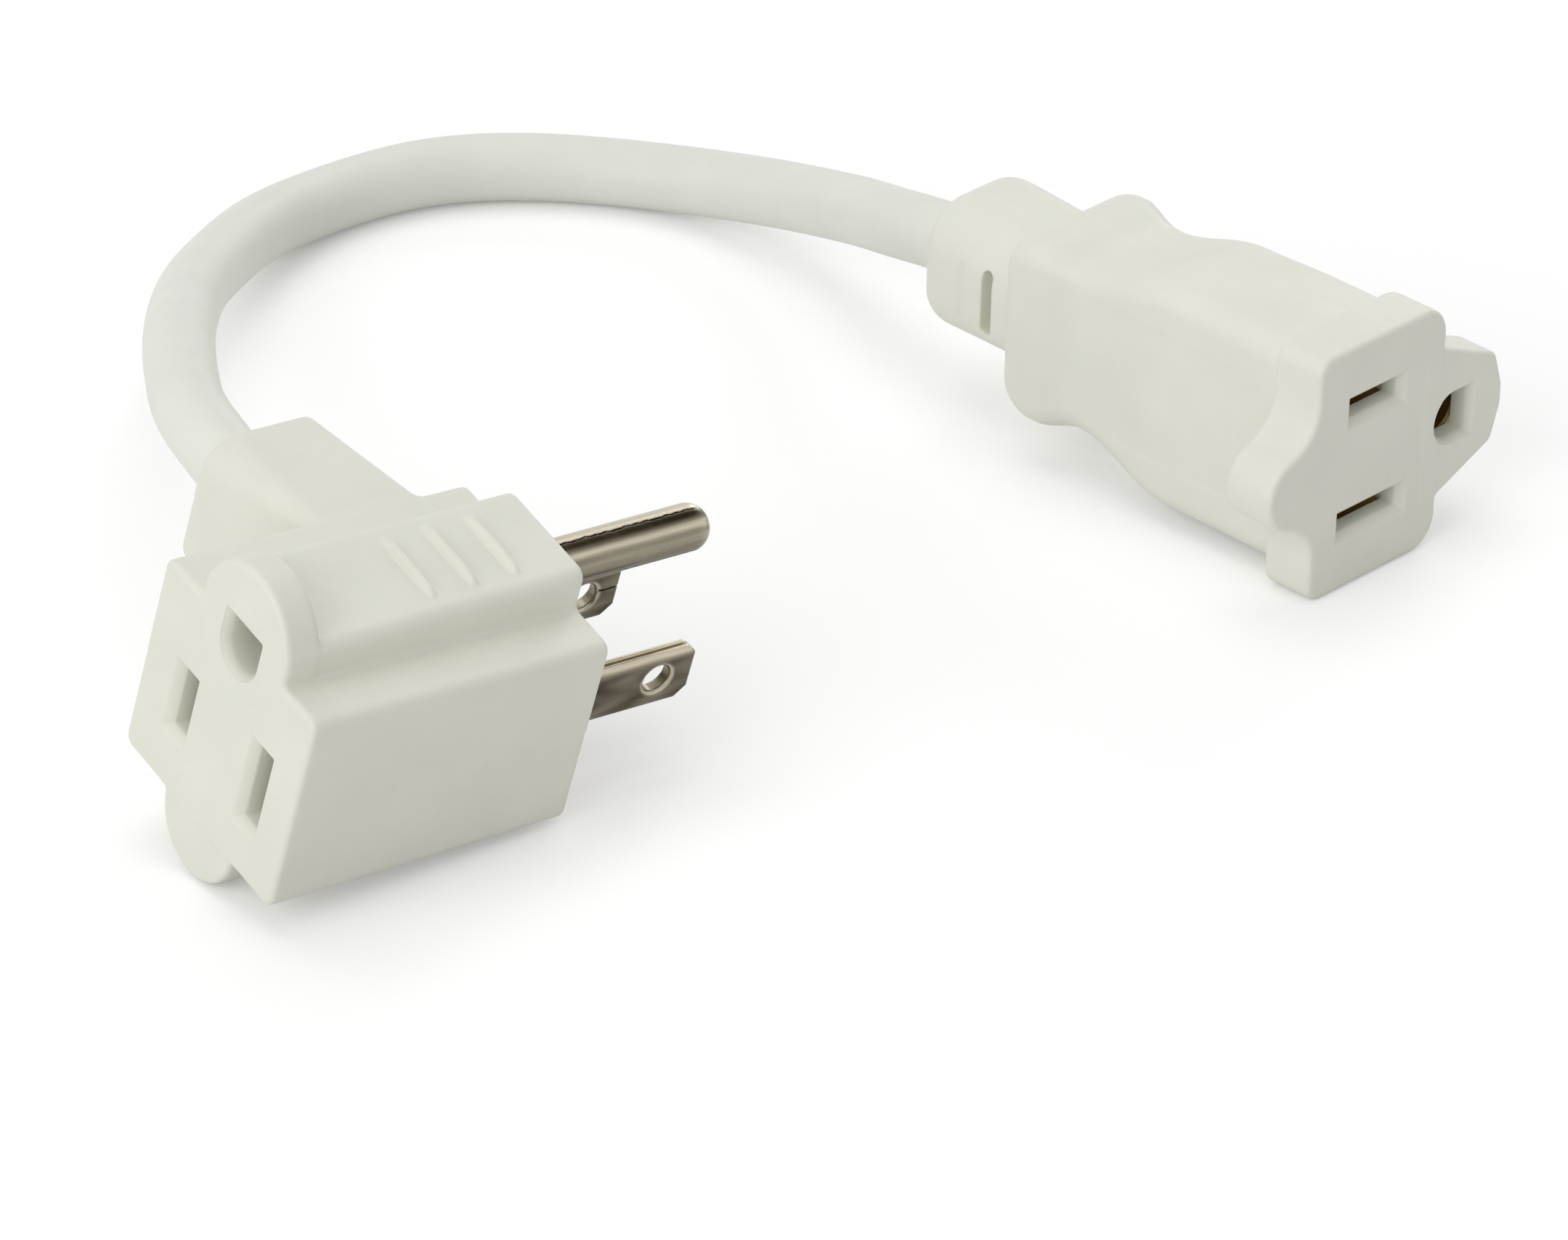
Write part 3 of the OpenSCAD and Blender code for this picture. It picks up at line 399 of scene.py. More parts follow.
def skin(name, low, high, cell, distance):
    """Mesh of the surface of a shape given by its distance, in its local frame in metres."""
    band = 3 * cell
    x, y, z = (np.arange(a, b + cell, cell, dtype=np.float32) for a, b in zip(low, high))
    d = distance(x[:, None, None], y[None, :, None], z[None, None, :])
    d = np.clip(d, -band, band).astype(np.float32)
    grid = openvdb.FloatGrid(band)
    grid.copyFromArray(np.ascontiguousarray(d), tolerance=0.0)
    points, quads = grid.convertToQuads(isovalue=0.0)
    mesh = mesh_from(name, (points * cell + np.asarray(low, np.float32)) * MM, quads)
    built = bmesh.new()
    built.from_mesh(mesh)
    if built.calc_volume(signed=True) < 0:
        bmesh.ops.reverse_faces(built, faces=built.faces[:])
    built.to_mesh(mesh)
    built.free()
    return linked(name, mesh)


def loft(name, rings):
    """Closed mesh through rings (mm) with the same number of points."""
    n = len(rings[0])
    built = bmesh.new()
    verts = [[built.verts.new(Vector(p) * MM) for p in ring] for ring in rings]
    built.faces.new(verts[0])
    built.faces.new(list(reversed(verts[-1])))
    for ring, after in zip(verts, verts[1:]):
        for i in range(n):
            j = (i + 1) % n
            built.faces.new((ring[i], after[i], after[j], ring[j]))
    bmesh.ops.recalc_face_normals(built, faces=built.faces[:])
    mesh = bpy.data.meshes.new(name)
    built.to_mesh(mesh)
    built.free()
    return linked(name, mesh)


def prism(name, outline, z0, z1):
    return loft(name, [[(x, y, z) for x, y in outline] for z in (z0, z1)])


def apply_modifiers(piece):
    graph = bpy.context.evaluated_depsgraph_get()
    done = bpy.data.meshes.new_from_object(piece.evaluated_get(graph))
    old = piece.data
    piece.modifiers.clear()
    piece.data = done
    bpy.data.meshes.remove(old)


def carve(piece, cutters):
    """Cut closed meshes out of a piece and delete them."""
    for cutter in cutters:
        modifier = piece.modifiers.new("carve", "BOOLEAN")
        modifier.operation = "DIFFERENCE"
        modifier.solver = "MANIFOLD"
        modifier.object = cutter
        bpy.context.view_layer.update()
        apply_modifiers(piece)
        bpy.data.objects.remove(cutter)


def shade(piece, angle):
    piece.data.shade_smooth()
    piece.data.set_sharp_from_angle(angle=math.radians(angle))


def points_of(mesh):
    place = np.empty(3 * len(mesh.vertices), np.float32)
    mesh.vertices.foreach_get("co", place)
    return place


def settle(piece, where):
    """Take a mesh to its place in the row frame; materials find its own coordinates in "own"."""
    own = piece.data.attributes.new("own", "FLOAT_VECTOR", "POINT")
    own.data.foreach_set("vector", points_of(piece.data))
    piece.data.transform(where)


# ---------------------------------------------------------------- openings


def mouth(lead, rim, heel):
    """Depth and widening along the sloping mouth of an opening, whose rim is a little rounded."""
    return [(-0.5, lead + 0.35), (-0.02, lead + rim), (0.12, lead + 0.02),
            (lead_depth - 0.1, heel), (lead_depth + 0.12, 0)]


def slot_cutter(name, cx, cy, half_x, half_y, wall):
    """Blade slot."""
    rings = []
    for z, grow in mouth(lead_in, 0.2, 0.07) + [(wall + past, 0)]:
        ring = rounded([(cx + sx * (half_x + grow), cy + sy * (half_y + grow), slot_corner)
                        for sx, sy in ((-1, -1), (1, -1), (1, 1), (-1, 1))], 3)
        rings.append([(x, y, z) for x, y in ring])
    return loft(name, rings)


def ground_cutter(name, place, wall):
    """Ground hole, round on one side and flat on the other; place turns (x, y) into the face."""
    rings = []
    throat = [(face_wall - 0.3, -throat_step), (wall + past, -throat_step)]
    for z, grow in mouth(lead_in / 2, 0.18, 0.04) + throat:
        r = ground_hole_r + grow
        round_side = arc(0, 0, r, 180, 360, 28)
        flat_side = [(r, r - 0.25), (r - 0.08, r - 0.08), (r - 0.25, r),
                     (0.25 - r, r), (0.08 - r, r - 0.08), (-r, r - 0.25)]
        rings.append([(*place(x, y), z) for x, y in round_side + flat_side])
    return loft(name, rings)


def cord_cutter(place, start, end):
    """Bore for the cord, widening at its outer end; place turns (along, a, b) into the frame."""
    last = 360 - 360 / cord_sides
    return loft("bore", [
        [place(along, a, b) for a, b in arc(0, 0, cord_r + grow, 0, last, cord_sides - 1)]
        for along, grow in ((start, fit), (end - 0.6, fit), (end - 0.2, 0.12),
                            (end + 0.1, 0.5), (end + past, 0.9))])


# ---------------------------------------------------------------- plug


def plug_outline(narrow):
    """Outline across the plug's body, shrunk by its draft on the way to the blades."""
    plain = plain_side_w - narrow / 2
    top = wing_top - 1.5 * narrow
    bottom = wing_bottom - narrow
    tower = block_half_w - 0.75 * narrow
    return rounded([
        (arm_side_w, -bottom, wing_corner), (arm_side_w, top, wing_corner),
        (tower, top, block_foot), (tower, block_top, block_corner),
        (-tower, block_top, block_corner), (-tower, top, block_foot),
        (-plain, top, wing_corner), (-plain, -bottom, wing_corner),
    ])


def arm_distance(x, y, z):
    """Side arm, from the whole height of the body to a smaller end where the cord leaves."""
    t = part_way(x, arm_side_w, arm_end)
    low = mix(draft - wing_bottom, arm_y - arm_end_h / 2, t)
    high = mix(wing_top - 1.5 * draft, arm_y + arm_end_h / 2, t)
    qy = (np.abs(y - (low + high) / 2) - (high - low) / 2) * arm_taper
    qz = np.abs(z - arm_z) - arm_w / 2
    upper_front = (y > arm_y) & (z < arm_z)
    r = np.where(upper_front, mix(arm_corner, arm_round, t), arm_corner)
    side = both(qy, qz, r)
    return np.maximum(both(side, x - arm_end, arm_edge), arm_start - x)


def rib_distance(x, y, z, place):
    """Grip rib: a thin bar that sinks into the face towards its ends."""
    half = (rib_length - rib_w) / 2
    ex = np.maximum(np.abs(x) - half, 0)
    sunk = rib_sink * np.clip(np.abs(x) / half, 0, 1.2) ** 5
    ey = y - (block_top + rib_h - rib_w / 2) + sunk
    return np.sqrt(ex * ex + ey * ey + (z - place) ** 2) - rib_w / 2


def plug_distance(x, y, z):
    """Plug's moulding: body, two round flanges at the outlet face, side arm and three ribs."""
    front = to_outline(plug_outline(0), x, y)
    back = to_outline(plug_outline(draft), x, y)
    body = mix(front, back, part_way(z, 0.8, plug_depth - 0.8))
    d = plate(body, z, plug_depth, plug_front_edge, plug_back_edge)
    for cy, r in ((boss_y, boss_r), (-foot_y, foot_r)):
        disc = np.hypot(x, y - cy) - r
        flange = plate(disc, z, flange_depth, plug_front_edge, flange_edge)
        d = either(d, flange, flange_blend)
    d = either(d, arm_distance(x, y, z), arm_blend)
    for i in (-1, 0, 1):
        d = either(d, rib_distance(x, y, z, arm_z + i * rib_pitch), rib_blend)
    # the line where the mould's halves met, and a trace of the lower half's offset
    line = plug_line_h * hump(y - arm_y, plug_line_w)
    step = plug_step * np.clip((arm_y - y) / 0.3, 0, 1)
    return d + np.where(np.abs(x) > block_half_w, line + step, 0).astype(np.float32)


def insert_outline():
    """Room for the plug's hard inserts, with its tower for the ground contact and the pin."""
    half, tower = insert_half_x + fit, insert_tower_half + fit
    low, top, tower_top = insert_bottom - fit, insert_top + fit, insert_tower_top + fit
    return [(-half, low), (half, low), (half, top), (tower, top), (tower, tower_top),
            (-tower, tower_top), (-tower, top), (-half, top)]


def make_plug():
    piece = skin("plug_shell", (-14.5, -17, -1), (32.5, 22.5, 35.2), BODY_CELL, plug_distance)
    room = loft("room", [
        [(x, arm_y + sy * wires_half_y, arm_z + sz * wires_half_z)
         for sy, sz in ((-1, -1), (1, -1), (1, 1), (-1, 1))] for x in (0, jacket_start - 0.1)])
    carve(piece, [
        prism("inner", insert_outline(), plug_wall, plug_depth + 1),
        room,
        cord_cutter(lambda along, a, b: (along, a + arm_y, b + arm_z), jacket_start - 0.2, arm_end),
        slot_cutter("hot_slot", blade_x, 0, slot_t / 2, hot_slot_h / 2, plug_wall),
        slot_cutter("neutral_slot", -blade_x, 0, slot_t / 2, neutral_slot_h / 2, plug_wall),
        ground_cutter("ground_slot", lambda x, y: (x, y + ground_y), plug_wall),
    ])
    shade(piece, 38)
    settle(piece, PLUG)
    return piece


# ---------------------------------------------------------------- connector


def collar_outline():
    """Outline of the collar, with a round bulge between two dips on the plain side."""
    bulge_u = bulge_r - bulge_reach
    dip_u = -(collar_plain_u + dip_r)
    dip_v = math.sqrt((bulge_r + dip_r) ** 2 - (bulge_u - dip_u) ** 2)
    dip = math.degrees(math.atan2(-dip_v, bulge_u - dip_u))
    h, g, p = collar_half_v, collar_ground_u, collar_plain_u
    return (corner((0, -h), (g, -h), (g, 0), collar_ground_corner, 10)
            + corner((g, 0), (g, h), (0, h), collar_ground_corner, 10)
            + corner((0, h), (-p, h), (-p, 0), collar_plain_corner)
            + arc(dip_u, dip_v, dip_r, 0, dip, 12)
            + arc(bulge_u, 0, bulge_r, 180 + dip + 5, 180 - dip - 5, 16)
            + arc(dip_u, -dip_v, dip_r, -dip, 0, 12)
            + corner((-p, 0), (-p, -h), (0, -h), collar_plain_corner))


def nose_outline():
    """Outline of the nose that the collar has over the ground contact."""
    g, n, h = collar_ground_u, nose_reach, nose_half_v
    return rounded([
        (g - 3, -h, 0.5), (g + 0.1, -h, 0.5), (n - 1.2, -5, 1.3), (n, -1.2, 2),
        (n, 1.2, 2), (n - 1.2, 5, 1.3), (g + 0.1, h, 0.5), (g - 3, h, 0.5),
    ], 5)


def waisted(z, at_grip, at_waist, at_flare):
    """A size of the grip along the connector."""
    narrowing = mix(at_grip, at_waist, ease(part_way(z, taper_z, waist_z)))
    widening = mix(at_waist, at_flare, ease(part_way(z, waist_z, flare_z)))
    return np.where(z < waist_z, narrowing, widening)


def grip_distance(u, v, z):
    """Grip, from the collar over the waist to the flare."""
    plain = waisted(z, grip_plain_u, waist_plain_u, flare_plain_u)
    half = waisted(z, grip_half_v, waist_half_v, flare_half_v)
    ground = np.where(
        z < taper_z,
        mix(grip_ground_u, neck_ground_u, ease(part_way(z, neck_z, taper_z))),
        mix(neck_ground_u, flare_ground_u, part_way(z, taper_z, flare_z) ** 3))
    outline = both(np.abs(v) - half, z - flare_end, flare_round)
    d = both(outline, np.maximum(-plain - u, u - ground), grip_corner)
    return np.maximum(d, grip_start - z)


def ridge_distance(u, v, z):
    """Ridge over the ground contact, which falls to the grip behind it."""
    reach = np.interp(z.ravel(), (0, 17, 19.5, 22, 25, ridge_end),
                      (ridge_reach, ridge_reach, ridge_reach - 1.5, ridge_reach - 5,
                       neck_ground_u - 0.6, neck_ground_u - 2.5)).reshape(z.shape)
    d = box_section(u, v, 0, reach, -ridge_half, ridge_half, ridge_corner)
    return np.maximum(np.maximum(d * 0.8, ridge_start - z), z - ridge_end)


def relief_distance(u, v, z):
    """Strain relief, with one large corner at the top of the plain side."""
    wider = relief_flare * part_way(z, flare_end - 2, relief_end - 4.7)
    r = np.where((u < cord_u) & (v < 0), relief_wide_corner, relief_corner)
    d = box_section(u - cord_u, v, -relief_half, relief_half + wider,
                    -relief_half - wider, relief_half, r)
    return np.maximum(both(d, z - relief_tip, relief_round), relief_start - z)


def slit_distance(u, v, z, place, half, w, depth):
    """Cut across the strain relief's plain side, with round ends."""
    along = np.maximum(np.abs(v - slit_v) - (half - w / 2), 0)
    d = np.hypot(along, z - place) - w / 2
    return both(d, u - (cord_u - relief_half + depth), 0.1)


def connector_distance(u, v, z):
    """Connector's moulding: collar with its nose, grip, ridge and strain relief."""
    collar = to_outline(collar_outline(), u, v)
    d = plate(collar, z, collar_depth, collar_front_edge, collar_back_edge)
    nose = to_outline(nose_outline(), u, v)
    nose = plate(nose, z, nose_depth, collar_front_edge, collar_front_edge)
    d = either(d, nose, nose_blend)
    grip = either(grip_distance(u, v, z), ridge_distance(u, v, z), ridge_blend)
    grip = either(grip, relief_distance(u, v, z), relief_blend)
    d = either(d, grip, grip_blend)
    # the slit and the faint groove of the strain relief
    for place, half, w, depth, edge in (
            (slit_z, slit_half, slit_w, slit_depth, 0.25),
            (groove_z, groove_half, groove_w, groove_depth, 0.5)):
        d = -either(-d, slit_distance(u, v, z, place, half, w, depth), edge)
    # a shallow blank panel on the grip's plain side
    panel = np.maximum(np.abs(v) - panel_half_v, np.abs(z - panel_z) - panel_half_z)
    sunk = panel_depth * np.clip(-panel / panel_edge, 0, 1) * (u < 0)
    # the line where the mould's halves met
    line = conn_line_h * hump(u - cord_u, conn_line_w)
    return d + np.maximum(sunk, line).astype(np.float32)


def make_connector():
    piece = skin("connector_shell", (-17, -15, -1), (21, 15, 60.5), BODY_CELL,
                 connector_distance)
    core = rectangle(-core_plain_u, core_ground_u, -core_half_v, core_half_v)
    tower = rectangle(0, tower_u, -tower_half_v, tower_half_v)
    chamber = loft("chamber", [
        [(u, v, z) for u, v in rectangle(-chamber_plain_u, chamber_ground_u, -half, half)]
        for z, half in ((chamber_front, chamber_half_v), (25.5, chamber_half_v),
                        (38, chamber_neck_half_v), (jacket_end_z + 0.1, chamber_neck_half_v))])
    well = loft("well", [
        [(u, v, z) for u, z in (
            (0, chamber_front), (barrel_u, chamber_front), (barrel_u, 19.5), (barrel_u - 1.5, 23),
            (chamber_ground_u + 0.6, 28), (chamber_ground_u, 31), (0, 31))]
        for v in (-barrel_half_v, barrel_half_v)])
    carve(piece, [
        prism("core", core, face_wall, core_back),
        prism("tower", tower, face_wall + 0.01, core_back + 0.02),
        chamber,
        well,
        cord_cutter(lambda along, a, b: (a + cord_u, b, along), jacket_end_z - 0.1, relief_tip),
        slot_cutter("hot_slot", 0, -blade_x, hot_slot_h / 2, slot_t / 2, face_wall),
        slot_cutter("neutral_slot", 0, blade_x, neutral_slot_h / 2, slot_t / 2, face_wall),
        ground_cutter("ground_slot", lambda x, y: (y + ground_y, -x), face_wall),
    ])
    shade(piece, 38)
    settle(piece, CONN)
    return piece


# ---------------------------------------------------------------- blades and pin


def groove(d, across, into, half_w, depth, soft=0.06):
    """Cut a groove whose bottom is an ellipse; into is 0 at the surface and grows outwards."""
    shape = (np.hypot(across / half_w, into / depth) - 1) * half_w
    return -either(-d, shape, soft)


def from_hole(y, z):
    """Distance to the wall of the hole in a blade."""
    return np.hypot(y, z - plug_depth - blade_hole_z) - blade_hole_d / 2


def blade_distance(x, y, z, seam_side):
    """Folded blade with rolled edges; x is from its middle, and its seam faces seam_side."""
    w, end, cut = blade_w / 2, plug_depth + blade_reach, blade_bevel
    outline = to_outline(rounded([
        (-w, tail_front, 0.3), (w, tail_front, 0.3), (w, end - cut * 0.8, 0.25),
        (w - cut * 0.75, end, 0.25), (-w + cut, end, 0.25), (-w, end - cut * 1.1, 0.25),
    ], 3), y, z)
    t = blade_t / 2
    d = both(outline, np.abs(x) - t, blade_edge)
    # the sheet's two layers part along one long edge, and its ends meet along one face
    d = groove(d, x, np.minimum(y - w, 0), 0.15, 0.42)
    wander = 0.3 + 0.05 * np.sin(1.9 * z) * np.sin(0.7 * z)
    d = groove(d, y - wander, np.minimum(x * seam_side - t, 0), 0.13, 0.32)
    # the hole's rim is countersunk
    sink = np.clip((np.abs(x) - (t - hole_sink)) / hole_sink, 0, 1)
    hole = from_hole(y, z) - hole_sink * sink
    return -either(-d, 0.75 * hole, 0.1)


def set_polish_and_sheen(piece, polish_and_sheen):
    """Store for each point, 0 to 1, how bright its plating is made: real polish, painted highlights
    and painted shade.
    """
    x, y, z = points_of(piece.data).reshape(-1, 3).T / MM
    layer = piece.data.attributes.new("polish_and_sheen", "FLOAT", "POINT")
    layer.data.foreach_set("value", np.clip(polish_and_sheen(x, y, z), 0, 1).astype(np.float32))


def blade_polish_and_sheen(x, y, z):
    """Painted highlights on the upper long edge and the hole's rim; the other long edge a little
    brighter, and random tone.
    """
    w = blade_w / 2
    cloud = 0.1 * np.sin(0.9 * z + 1.3 * np.sin(1.7 * y)) * np.sin(1.1 * y + 0.6)
    # painted highlight on the upper edge, which faces up, and on the countersunk rim of the hole
    return (0.15 + cloud + hump(w - y, 0.7) + 0.2 * hump(w + y, 0.3)
            + 0.7 * hump(from_hole(y, z) - 0.2, 0.2))


def pin_polish_and_sheen(x, y, z):
    """Painted highlights on top beyond the seam and in two side bands, painted shade between,
    brighter tip.
    """
    angle = np.degrees(np.arctan2(y - ground_y, x)) % 360
    # painted highlight along the top beyond the seam; the tip is a little brighter
    top = part_way(angle, 92, 86) * part_way(angle, 20, 50)
    tip = hump(z - plug_depth - pin_reach + 0.9, 0.9)
    # painted highlights in two bands down the side, and painted shade in a band past the seam
    side = 0.8 * hump(angle - 131, 9) + 0.25 * hump(angle - 162, 20)
    painted_dark_band = 0.25 * hump(angle - 104, 12)
    return 0.22 - painted_dark_band + 0.75 * top + side + 0.25 * tip


def pin_distance(x, y, z):
    """Ground pin rolled from sheet, with its seam, a crease and a domed tip."""
    end, neck_end = plug_depth + pin_reach, plug_depth - fit
    y = y - ground_y
    neck = (z > neck_end - 1) & (z < neck_end)
    wall = np.hypot(x, y) - np.where(neck, pin_r - pin_neck_inset, pin_r)
    d = np.maximum(both(wall, z - end, pin_dome), tail_front - z)
    fading = np.clip((end - 0.9 - z) / 1.5, 0, 1)
    wander = 0.07 * np.sin(1.9 * z) * np.sin(0.7 * z) + 0.04 * np.sin(5.3 * z)
    for angle, half_w, depth in ((90, 0.1, 0.4), (207, 0.07, 0.22)):
        a = math.radians(angle)
        across = y * math.cos(a) - x * math.sin(a) - wander
        into = np.minimum(x * math.cos(a) + y * math.sin(a) - pin_r, 0)
        d = groove(d, across, into, half_w, 0.02 + depth * fading, 0.04)
    # the sheet's edge stands a little proud beside the seam
    lip = 0.035 * hump(x + 0.3 + wander, 0.22) * (y > 0) * fading
    return d - lip.astype(np.float32)


def make_metal(name, centre, half, tip, distance, polish_and_sheen):
    """Piece of the plug that runs from inside it to a tip; half is the size of its room."""
    (cx, cy), (hx, hy) = centre, half
    piece = skin(name, (cx - hx, cy - hy, tail_front - past), (cx + hx, cy + hy, tip + past),
                 METAL_CELL, distance)
    set_polish_and_sheen(piece, polish_and_sheen)
    shade(piece, 50)
    settle(piece, PLUG)
    return piece


def make_blade(name, place, seam_side):
    return make_metal(name, (place, 0), (1.2, 3.8), plug_depth + blade_reach,
                      lambda x, y, z: blade_distance(x - place, y, z, seam_side), blade_polish_and_sheen)


def make_pin():
    return make_metal("ground_pin_shell", (0, ground_y), (2.8, 2.8), plug_depth + pin_reach,
                      pin_distance, pin_polish_and_sheen)


# ---------------------------------------------------------------- cord


def spline(points, step):
    """Points (mm) spaced evenly on the smooth curve through the given ones, and their runs."""
    p = np.array(points, float)
    t = np.concatenate([[0], np.cumsum(np.linalg.norm(np.diff(p, axis=0), axis=1))])
    h, n = np.diff(t), len(t)
    a, b = np.eye(n), np.zeros((n, 3))
    for i in range(1, n - 1):
        a[i, i - 1:i + 2] = h[i - 1], 2 * (h[i - 1] + h[i]), h[i]
        b[i] = 6 * ((p[i + 1] - p[i]) / h[i] - (p[i] - p[i - 1]) / h[i - 1])
    m = np.linalg.solve(a, b)
    fine = np.linspace(0, t[-1], 4000)
    k = np.clip(np.searchsorted(t, fine, "right") - 1, 0, n - 2)
    u, w, hk = (t[k + 1] - fine)[:, None], (fine - t[k])[:, None], h[k][:, None]
    curve = (m[k] * u ** 3 / (6 * hk) + m[k + 1] * w ** 3 / (6 * hk)
             + (p[k] / hk - m[k] * hk / 6) * u + (p[k + 1] / hk - m[k + 1] * hk / 6) * w)
    run = np.concatenate([[0], np.cumsum(np.linalg.norm(np.diff(curve, axis=0), axis=1))])
    count = int(round(run[-1] / step))
    even = np.linspace(0, run[-1], count + 1)
    return np.stack([np.interp(even, run, curve[:, c]) for c in range(3)], 1), even


def jacket_points():
    """Route of the jacket from inside the plug's arm to inside the connector."""
    plug_side = [placed(PLUG, x, arm_y, arm_z) / MM for x in (jacket_start, 24, arm_end)]
    conn_side = [placed(CONN, cord_u, 0, z) / MM for z in (relief_end, 52.65, jacket_end_z)]
    return [tuple(p) for p in plug_side] + ROUTE + [tuple(p) for p in conn_side]


def map_along(mesh, run):
    """UV map of the jacket: u grows along it and v round it, past 1 in the faces at the seam."""
    layer = mesh.uv_layers.new(name="along")
    for face in mesh.polygons:
        spots = [divmod(vert, cord_sides) for vert in face.vertices]
        turns = [around / cord_sides for _, around in spots]
        at_seam = len(spots) == 4 and max(turns) - min(turns) > 0.5
        for loop, (ring, _), v in zip(face.loop_indices, spots, turns):
            layer.data[loop].uv = (run[ring] / map_length, v + 1 if at_seam and v < 0.5 else v)


def make_cord():
    path, run = spline(jacket_points(), 0.8)
    ahead = np.gradient(path, axis=0)
    ahead /= np.linalg.norm(ahead, axis=1)[:, None]
    side = np.array(placed(PLUG, 0, 1, 0) - placed(PLUG, 0, 0, 0))
    rings = []
    angles = np.arange(cord_sides) * 2 * math.pi / cord_sides
    for p, t, s in zip(path, ahead, run):
        side = side - t * side.dot(t)
        side /= np.linalg.norm(side)
        other = np.cross(t, side)
        # three conductors show faintly through the jacket, and it swells a little here and there
        r = cord_r * (0.992 + 0.004 * np.cos(3 * angles + s * 0.045)
                      + 0.003 * math.sin(s * 0.21) * np.cos(2 * angles + s * 0.03))
        rings.append(p + r[:, None] * (np.cos(angles)[:, None] * side
                                       + np.sin(angles)[:, None] * other))
    piece = loft("cord_sleeve", rings)
    map_along(piece.data, run)
    shade(piece, 60)
    return piece, [tuple(p * MM) for p in path]


# ---------------------------------------------------------------- materials


class Nodes:
    """A material's node tree, built with short calls."""

    def __init__(self, name):
        self.material = bpy.data.materials.new(name)
        self.material.use_nodes = True
        self.tree = self.material.node_tree
        self.shader = self.tree.nodes["Principled BSDF"]

    def add(self, kind, **settings):
        node = self.tree.nodes.new("ShaderNode" + kind)
        for key, value in settings.items():
            setattr(node, key, value)
        return node

    def link(self, a, b):
        self.tree.links.new(a, b)

    def drive(self, **sockets):
        """Link sockets to the shader's inputs of the same names."""
        for key, socket in sockets.items():
            self.link(socket, self.shader.inputs[key.replace("_", " ")])

    def set(self, **values):
        for key, value in values.items():
            self.shader.inputs[key.replace("_", " ")].default_value = value

    def coordinates(self, kind="Object", scale=(1, 1, 1)):
        """Object or UV coordinates, or with "own" those of the piece before it was placed."""
        if kind == "own":
            where = self.add("Attribute", attribute_name="own").outputs["Vector"]
        else:
            where = self.add("TexCoord").outputs[kind]
        mapping = self.add("Mapping")
        mapping.inputs["Scale"].default_value = scale
        self.link(where, mapping.inputs["Vector"])
        return mapping.outputs["Vector"]

    def noise(self, vector, scale, detail, roughness=0.5):
        node = self.add("TexNoise")
        node.inputs["Scale"].default_value = scale
        node.inputs["Detail"].default_value = detail
        node.inputs["Roughness"].default_value = roughness
        self.link(vector, node.inputs["Vector"])
        return node.outputs["Fac"]

    def ramp(self, factor, stops):
        node = self.add("ValToRGB")
        ramp = node.color_ramp
        while len(ramp.elements) < len(stops):
            ramp.elements.new(0.5)
        for element, (at, colour) in zip(ramp.elements, stops):
            element.position = at
            element.color = (*colour, 1)
        self.link(factor, node.inputs["Fac"])
        return node.outputs["Color"]

    def blend(self, factor, a, b):
        """Colour a where the factor is 0 and b where it is 1; each is a colour or a socket."""
        node = self.add("Mix", data_type="RGBA")
        self.link(factor, node.inputs["Factor"])
        for name, value in (("A", a), ("B", b)):
            socket = next(i for i in node.inputs if i.name == name and i.type == "RGBA")
            if isinstance(value, tuple):
                socket.default_value = (*value, 1)
            else:
                self.link(value, socket)
        return next(o for o in node.outputs if o.type == "RGBA")

    def span(self, factor, low, high, start=0.0, stop=1.0):
        """Take the factor's range from start to stop to the one from low to high."""
        node = self.add("MapRange")
        node.inputs["From Min"].default_value = start
        node.inputs["From Max"].default_value = stop
        node.inputs["To Min"].default_value = low
        node.inputs["To Max"].default_value = high
        self.link(factor, node.inputs["Value"])
        return node.outputs["Result"]

    def bump(self, height, distance, strength, normal=None):
        node = self.add("Bump")
        node.inputs["Strength"].default_value = strength
        node.inputs["Distance"].default_value = distance
        self.link(height, node.inputs["Height"])
        if normal is not None:
            self.link(normal, node.inputs["Normal"])
        return node.outputs["Normal"]


def linear(*srgb):
    """Linear colour of an sRGB one whose values run to 255."""
    return tuple(((c / 255 + 0.055) / 1.055) ** 2.4 for c in srgb)


def pvc(name, base, coordinates="own", scale=(1, 1, 1)):
    """Satin PVC with a fine moulded grain, faint clouding and soft scatter under the skin."""
    m = Nodes(name)
    where = m.coordinates(coordinates, scale)
    darker = tuple(c * 0.965 for c in base)
    lighter = tuple(min(1, c * 1.02) for c in base)
    cloud = m.noise(where, 95, 4, 0.55)
    pebbles = m.bump(m.noise(where, 5200, 2, 0.6), 0.00001, 0.35)
    swell = m.bump(m.noise(where, 130, 2, 0.4), 0.00025, 0.25, pebbles)
    m.drive(Base_Color=m.ramp(cloud, [(0.3, darker), (0.7, lighter)]),
            Roughness=m.span(m.noise(where, 320, 3), 0.4, 0.55), Normal=swell)
    m.set(Subsurface_Weight=0.12, Subsurface_Scale=0.0012, Specular_IOR_Level=0.42,
          Subsurface_Radius=(1.0, 0.72, 0.5))
    return m.material


